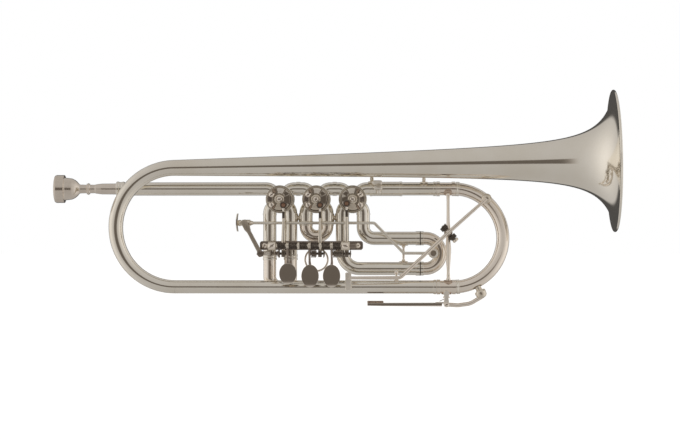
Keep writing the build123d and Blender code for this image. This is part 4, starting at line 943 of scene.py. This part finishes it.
for k, x in enumerate((33.6, 62.6)):
    joint(f"upper_sleeve_ring_{k}", (x, valve_y, lead_z), (x + (2.4, 2.6)[k], valve_y, lead_z),
          7.15, 6.6, "horn")
# Third slide's boss, turned and bright
spin("third_boss", "third_tuning", silver_soft, SLIDE,
     [(-6, 0), (-6, 3.6), (-4.6, 2.6), (-1, 1.9), (1.2, 1.9), (1.2, 0)], [0, 0.5, 0.8, 0.3, 0, 0],
     (boss_x, rod_y, boss_z), FRONT)
dress(dome("third_boss_screw", (boss_x + 0.3, rod_y - 0.2, boss_z + 0.2), 4.3, 1.7, 35),
      "third_tuning", satin, SLIDE)

# ---- main slide's upright brace
upright_x = 109.8
main_leg = 6.25
upright_top, upright_foot = vec(upright_x, 10.2, 5), vec(upright_x, -2.4, -80)
upright_line = (upright_foot - upright_top).normalized()
upright = lathe("upright_brace", [
    (0, 0), (0, 2.5), (2, 1.9), (3.4, 1.35), (24, 1.5), (33, 1.7), (34.2, 2.4), (35.4, 1.8), (48, 2.1),
    (54, 2.85), (60, 2.6), (74, 1.6), (78.6, 1.25), (80.2, 1.9), (81.6, 1.3), (84, 2), (85.9, 2.6),
    (85.9, 0)], upright_top, upright_line, 48, closed=False)
# Its belly is flattened from front to back, so that the third slide clears it
for point in upright.data.vertices:
    spot = point.co / MM
    on_axis = upright_top + upright_line * (spot - upright_top).dot(upright_line)
    swell = min((spot - on_axis).length, 2.9)
    point.co.y = (on_axis.y + (spot.y - on_axis.y) * min(1, 1.75 / max(swell, 0.1))) * MM
smooth_post = upright.modifiers.new("round", "SUBSURF")
smooth_post.levels = smooth_post.render_levels = 1
settle(upright)
dress(upright, *main_soft, "main_slide_brace")
for k, (spot, end) in enumerate(((vec(upright_x, valve_y, lead_z), upright_top),
                                 (vec(upright_x, 0, bottom_z), upright_foot))):
    flange = saddle(f"upright_flange_{k}", spot, RIGHT, end - spot, main_leg, 4.4, 0.8)
    dress(flange, "main_tuning", flange_brown, BODY)

# ---- vent key
key_pivot = vec(upright_x, -1.4, -33)
key_bend = vec(63, -8, -76.8)
key_toe = vec(13.2, -12.6, -76.8)
main_radius = math.hypot(valve_y / 2, (lead_z - bottom_z) / 2)
bow_mid = vec(main_bow_x, valve_y / 2, (lead_z + bottom_z) / 2)
bow_up = vec(0, valve_y / 2, (lead_z - bottom_z) / 2).normalized()


def bow_point(angle, distance):
    """A point in the main bow's plane, from its centre."""
    x, up = polar(distance, angle)
    return bow_mid + vec(x, 0, 0) + bow_up * up


nipple = bow_point(50, main_radius + 2)
pad_spot = nipple - vec(0, 9.6, 0)
key_line = vec(key_pivot.x - key_bend.x, 0, key_pivot.z - key_bend.z).normalized()
key_axis = vec(key_line.z, 0, -key_line.x)
fork_inside, fork_cheek = 2.45, 0.9
for tag, side in enumerate((-1, 1)):
    start = key_pivot + key_axis * (side * fork_inside)
    spin(f"fork_cheek_{tag}", "main_tuning", lever_painted_shade, BODY,
         [(0, 0), (0, 3), (fork_cheek, 3), (fork_cheek, 0)], 0.35, start, key_axis * side)
    tongue = slab(f"fork_tongue_{tag}", box(-2.4, 0, 2.4, 8.2, 0.8), start + vec(0, 6.8, 0), key_line, FRONT,
                  side * fork_cheek, 0.25)
    dress(tongue, *main_work)
dress(collar("key_pin", key_pivot - key_axis * 8.6, key_pivot + key_axis * 9.8, 1.25, 0.2), "main_tuning",
      dark_steel, BODY)
base_at = upright_top + upright_line * ((key_pivot.z - upright_top.z) / upright_line.z)
spin("fork_base", *main_work,
     [(0, 0), (0, 4.1), (base_at.y - 1, 4.1), (base_at.y - 1, 0)], [0, 0.4, 0.6, 0],
     (key_pivot.x, base_at.y + 0.6, key_pivot.z), FRONT, 56)
spin("key_pin_end", *main_soft,
     [(0, 0), (0, 2.6), (0.9, 3), (2, 3), (2.9, 2.3), (2.9, 0)], [0, 0.4, 0.4, 0.5, 0.4, 0],
     key_pivot + key_axis * 8.7, key_axis, 40)
coils = [helix("c", key_pivot + key_axis * (side * 3.95), key_axis * side, 3.3, 0.62, 3, 1.35)
         for side in (-1, 1)]
dress(joined("vent_key_springs", coils, 60), "main_tuning", dark_steel, STEEL, "vent_key_springs")

bar_path = rounded([pad_spot - vec(0, 3.4, 0), key_pivot - vec(0, 1.6, 0), key_bend, key_toe],
                   [0, 16, 7, 0], 12)
thickness = [1.5] + [1.8] * (len(bar_path) - 2) + [1.5]
dress(tube("vent_key_bar", bar_path, thickness, sides=32), "overblow_key", silver_soft, LEVER, "vent_key")
spin("vent_key_hub", "overblow_key", silver_soft, LEVER,
     [(-2.3, 1.3), (-2.3, 2.5), (-1.2, 2.9), (1.2, 2.9), (2.3, 2.5), (2.3, 1.3)], 0.3,
     key_pivot, key_axis)
spin("vent_pad_cup", "overblow_key", silver_work, LEVER,
     [(0, 3.7), (0, 4.8), (1, 4.9), (2.2, 4.5), (3, 3.4), (3.5, 1.9), (3.9, 1.6), (3.9, 0), (0.6, 0),
      (0.6, 3.5)], [0.1, 0.3, 0.3, 0.6, 0.8, 0.4, 0.2, 0, 0, 0.1], pad_spot, FRONT, 64)
spin("vent_pad", "overblow_key", cork_tan, LEVER, [(0.05, 0), (0.05, 3.4), (0.6, 3.4), (0.6, 0)],
     [0, 0.2, 0, 0], pad_spot, FRONT)
spin("vent_nipple", "main_tuning", silver_work, SLIDE,
     [(0, 1), (0, 3.3), (1.4, 2.7), (6.6, 2.65), (7.2, 3), (8, 3), (8, 1)],
     [0, 0.3, 0.5, 0.3, 0.2, 0.2, 0], nipple, FRONT)
panel("vent_touch", "overblow_key", satin, LEVER, box(-2.9, -8.8, 2.9, 8.8, 1.2, 5),
      (key_toe.x, key_toe.y - 0.9, -80.3), 1.7, 0.5, 4)
spin("rest_post", *horn_soft,
     [(6, 0), (6, 3), (7, 1.5), (8.4, 1.15), (12.4, 1.15), (13, 1.7), (14.8, 1.95), (16.4, 1.2), (16.6, 0)],
     [0, 0.3, 0.6, 0.4, 0.3, 0.4, 0.8, 0.4, 0], (59.5, 0, bottom_z), UP, 40)

# ---- water key
water_pivot = vec(108, 0, -102.7)
bar_left, bar_top, bar_bottom = 31.4, -101.4, -104.2
water_angle = -64
water_pad = bow_point(water_angle, main_radius + 10)
water_out = (bow_point(water_angle, 2) - bow_point(water_angle, 1)).normalized()
bar_line = rounded2([(bar_left, bar_bottom + 0.3), (bar_left + 14, bar_bottom), (103.5, bar_bottom - 0.3),
                     (104, bar_top + 0.3), (bar_left, bar_top)], 0.3, 3)
panel("water_key_bar", "drain_key", touch_metal, LEVER, bar_line, (0, -3.5, 0), 7, 0.5, 4, "water_key")
panel("water_key_cork", "drain_key", cork_tan, CORK,
      box(bar_left, bar_top, bar_left + 15.6, bar_top + 2.05, 0.25, 3), (0, -3.4, 0), 6.8, 0.25)
rib_line = rounded2([(96.5, bar_top - 0.2), (105.6, bar_top - 0.4), (105.6, bar_top + 0.9),
                     (98, bar_top + 0.9)], 0.5, 3)
panel("water_key_rib", "drain_key", silver_soft, LEVER, rib_line, (0, -3.2, 0), 6.4, 0.3, 3)
spin("water_key_hub", "drain_key", silver_work, LEVER,
     [(-3.9, 1.3), (-3.9, 2.3), (-3, 2.6), (3, 2.6), (3.9, 2.3), (3.9, 1.3)], 0.3,
     water_pivot, BACK)
curve = rounded([water_pivot - vec(2, 0, 0), vec(119, 0.1, -103.5), vec(131, 0.2, -101.9),
                 water_pad + water_out * 5.6], [0, 12, 16, 0], 14)
dress(tube("water_key_arm", curve, 2, sides=32), "drain_key", silver_soft, LEVER)
spin("water_pad_cup", "drain_key", silver_work, LEVER,
     [(-0.4, 4.5), (-0.4, 5.2), (1.6, 5.5), (4.6, 5.1), (6.4, 3.8), (7.1, 2.2), (7.1, 0), (1, 0), (1, 4.2)],
     [0.1, 0.3, 0.8, 1.2, 0.8, 0.3, 0, 0, 0.1], water_pad, water_out, 64)
spin("water_pad", "drain_key", cork_tan, CORK, [(0.2, 0), (0.2, 3.6), (1, 3.6), (1, 0)], [0, 0.2, 0, 0],
     water_pad, water_out)
spin("water_nipple", "main_tuning", silver_work, SLIDE,
     [(5, 1.6), (5, 3.6), (6.2, 3), (8.4, 2.9), (9, 3.3), (9.95, 3.2), (9.95, 1.6)],
     [0, 0.3, 0.4, 0.3, 0.3, 0.2, 0], bow_point(water_angle, main_radius), water_out)
dress(saddle("water_flange", (water_pivot.x, 0, bottom_z), RIGHT, DOWN, main_leg, 4.9, 1.1), "main_tuning",
      flange_brown, BODY, "water_key_post")
lug_line = rounded2([(-3.4, 0.9), (-1.9, -6), (-3, -14.6), (3, -14.6), (1.9, -6), (3.4, 0.9)], 2.2, 6)
for k, side in enumerate((-1, 1)):
    panel(f"water_lug_{k}", "main_tuning", satin, BODY, lug_line,
          (water_pivot.x, side * 4.9 - 0.7, bottom_z - 4.4), 1.4, 0.3, 3)
spin("water_yoke", *main_work,
     [(5.6, 0), (5.6, 4), (7.2, 2.6), (8.6, 2.2), (9.6, 3.2), (10.6, 3.2), (10.6, 0)],
     [0, 0.4, 0.5, 0.5, 0.4, 0.3, 0], (water_pivot.x, 0, bottom_z), DOWN)
dress(dome("water_button_0", water_pivot + vec(0, -6, 0), 2.3, 1.2, 30), *main_soft)
dress(collar("water_button_1", water_pivot + vec(0, 5.8, 0), water_pivot + vec(0, 6.9, 0), 2, 0.4),
      *main_soft)
leaf_line = rounded2([(-1.2, 4.7), (-1.2, 4.1), (-6.8, 1.5), (-6.8, 2)], 0.2, 3)
panel("water_spring", "main_tuning", silver_work, STEEL, leaf_line, (water_pivot.x, -2.2, bar_top),
      4.4, 0.1, 2, "water_key_spring")
panel("water_spring_anchor", "main_tuning", silver_work, STEEL, box(-1.7, 4.6, 1.7, 5.6, 0.3, 3),
      (water_pivot.x, -4.2, bar_top), 8.4, 0.2)
dress(collar("water_axle", water_pivot - vec(0, 6.6, 0), water_pivot + vec(0, 6.6, 0), 1.2), *main_work)

# ---- studio: a bright floor and a soft surround
floor_z = min(cad_box[0][2], cad_box[1][2]) - 0.05
span = 6
floor_mesh = bpy.data.meshes.new("floor")
floor_mesh.from_pydata([(-span, -span, floor_z), (span, -span, floor_z), (span, span, floor_z),
                        (-span, span, floor_z)], [], [(0, 1, 2, 3)])
floor = bpy.data.objects.new("floor", floor_mesh)
bpy.context.scene.collection.objects.link(floor)
paint, paint_tree, shader = blank("studio_floor")
for socket, value in (("Base Color", (0.86, 0.86, 0.86, 1)), ("Roughness", 1), ("Specular IOR Level", 0),
                      ("Emission Color", (1, 1, 1, 1)), ("Emission Strength", 0.62)):
    shader.inputs[socket].default_value = value
floor_mesh.materials.append(paint)
floor.visible_glossy = False

world = bpy.data.worlds.new("studio")
bpy.context.scene.world = world
world.use_nodes = True
sky = world.node_tree


def maths(kind, *values):
    """A maths node's result, from numbers and other nodes' results."""
    made = node(sky, "Math")
    made.operation = kind
    for i, value in enumerate(values):
        if isinstance(value, (int, float)):
            made.inputs[i].default_value = value
        else:
            sky.links.new(value, made.inputs[i])
    return made.outputs[0]


def fade(value, start, end):
    """1 below start, 0 above end, smooth between. Both are in degrees."""
    made = node(sky, "MapRange", From_Min=math.radians(start), From_Max=math.radians(end))
    made.interpolation_type = "SMOOTHSTEP"
    sky.links.new(value, made.inputs["Value"])
    return maths("SUBTRACT", 1, made.outputs["Result"])


def dimmed(level, hole, share):
    """The level, darker by the share inside a hole."""
    return maths("MULTIPLY", level, maths("SUBTRACT", 1, maths("MULTIPLY", hole, share)))


split = node(sky, "SeparateXYZ")
sky.links.new(node(sky, "TexCoord").outputs["Generated"], split.inputs[0])
dx, dy, dz = split.outputs
azimuth = maths("ARCTAN2", maths("ABSOLUTE", dx), maths("MULTIPLY", dy, -1))
height = maths("ARCSINE", maths("ABSOLUTE", dz))
front_hole = maths("MULTIPLY", fade(height, 9, 13), fade(azimuth, 14, 30))
back_hole = fade(maths("ARCCOSINE", dy), 30, 38)
wide = maths("MULTIPLY", dx, dx)
level = maths("ADD", 0.50, maths("MULTIPLY", dz, 0.03))
level = maths("ADD", level, maths("MULTIPLY", wide, maths("ADD", 0.10, maths("MULTIPLY", wide, 0.30))))
level = dimmed(dimmed(level, front_hole, 0.73), back_hole, 0.84)
seen = node(sky, "LightPath").outputs["Is Camera Ray"]
level = maths("ADD", maths("MULTIPLY", level, maths("SUBTRACT", 1, seen)), seen)
background = sky.nodes["Background"]
sky.links.new(level, background.inputs["Strength"])


def blended(a, b, factor):
    """One colour turning into another."""
    made = sky.nodes.new("ShaderNodeMix")
    made.data_type = "RGBA"
    for socket, value in (("A", a), ("B", b)):
        if isinstance(value, tuple):
            made.inputs[socket].default_value = value
        else:
            sky.links.new(value, made.inputs[socket])
    sky.links.new(factor, made.inputs["Factor"])
    return made.outputs["Result"]


tone = blended((1, 0.958, 0.915, 1), (1, 0.86, 0.74, 1), front_hole)
sky.links.new(blended(tone, (1, 1, 1, 1), seen), background.inputs["Color"])

# ---- camera
scene = bpy.context.scene
scene.view_settings.view_transform = "Standard"
camera_distance = 2
camera_azimuth = math.radians(1.5)
sensor_width = 36
view_width = 659.6
camera_data = bpy.data.cameras.new("camera")
camera = bpy.data.objects.new("camera", camera_data)
scene.collection.objects.link(camera)
towards = Vector((math.sin(camera_azimuth), -math.cos(camera_azimuth), 0))
camera.location = vec(4.85, 0, -20.9) * MM + towards * camera_distance
camera.rotation_euler = (math.pi / 2, 0, camera_azimuth)
camera_data.sensor_width = sensor_width
camera_data.lens = sensor_width * camera_distance / (view_width * MM)
camera_data.clip_end = 50
scene.camera = camera
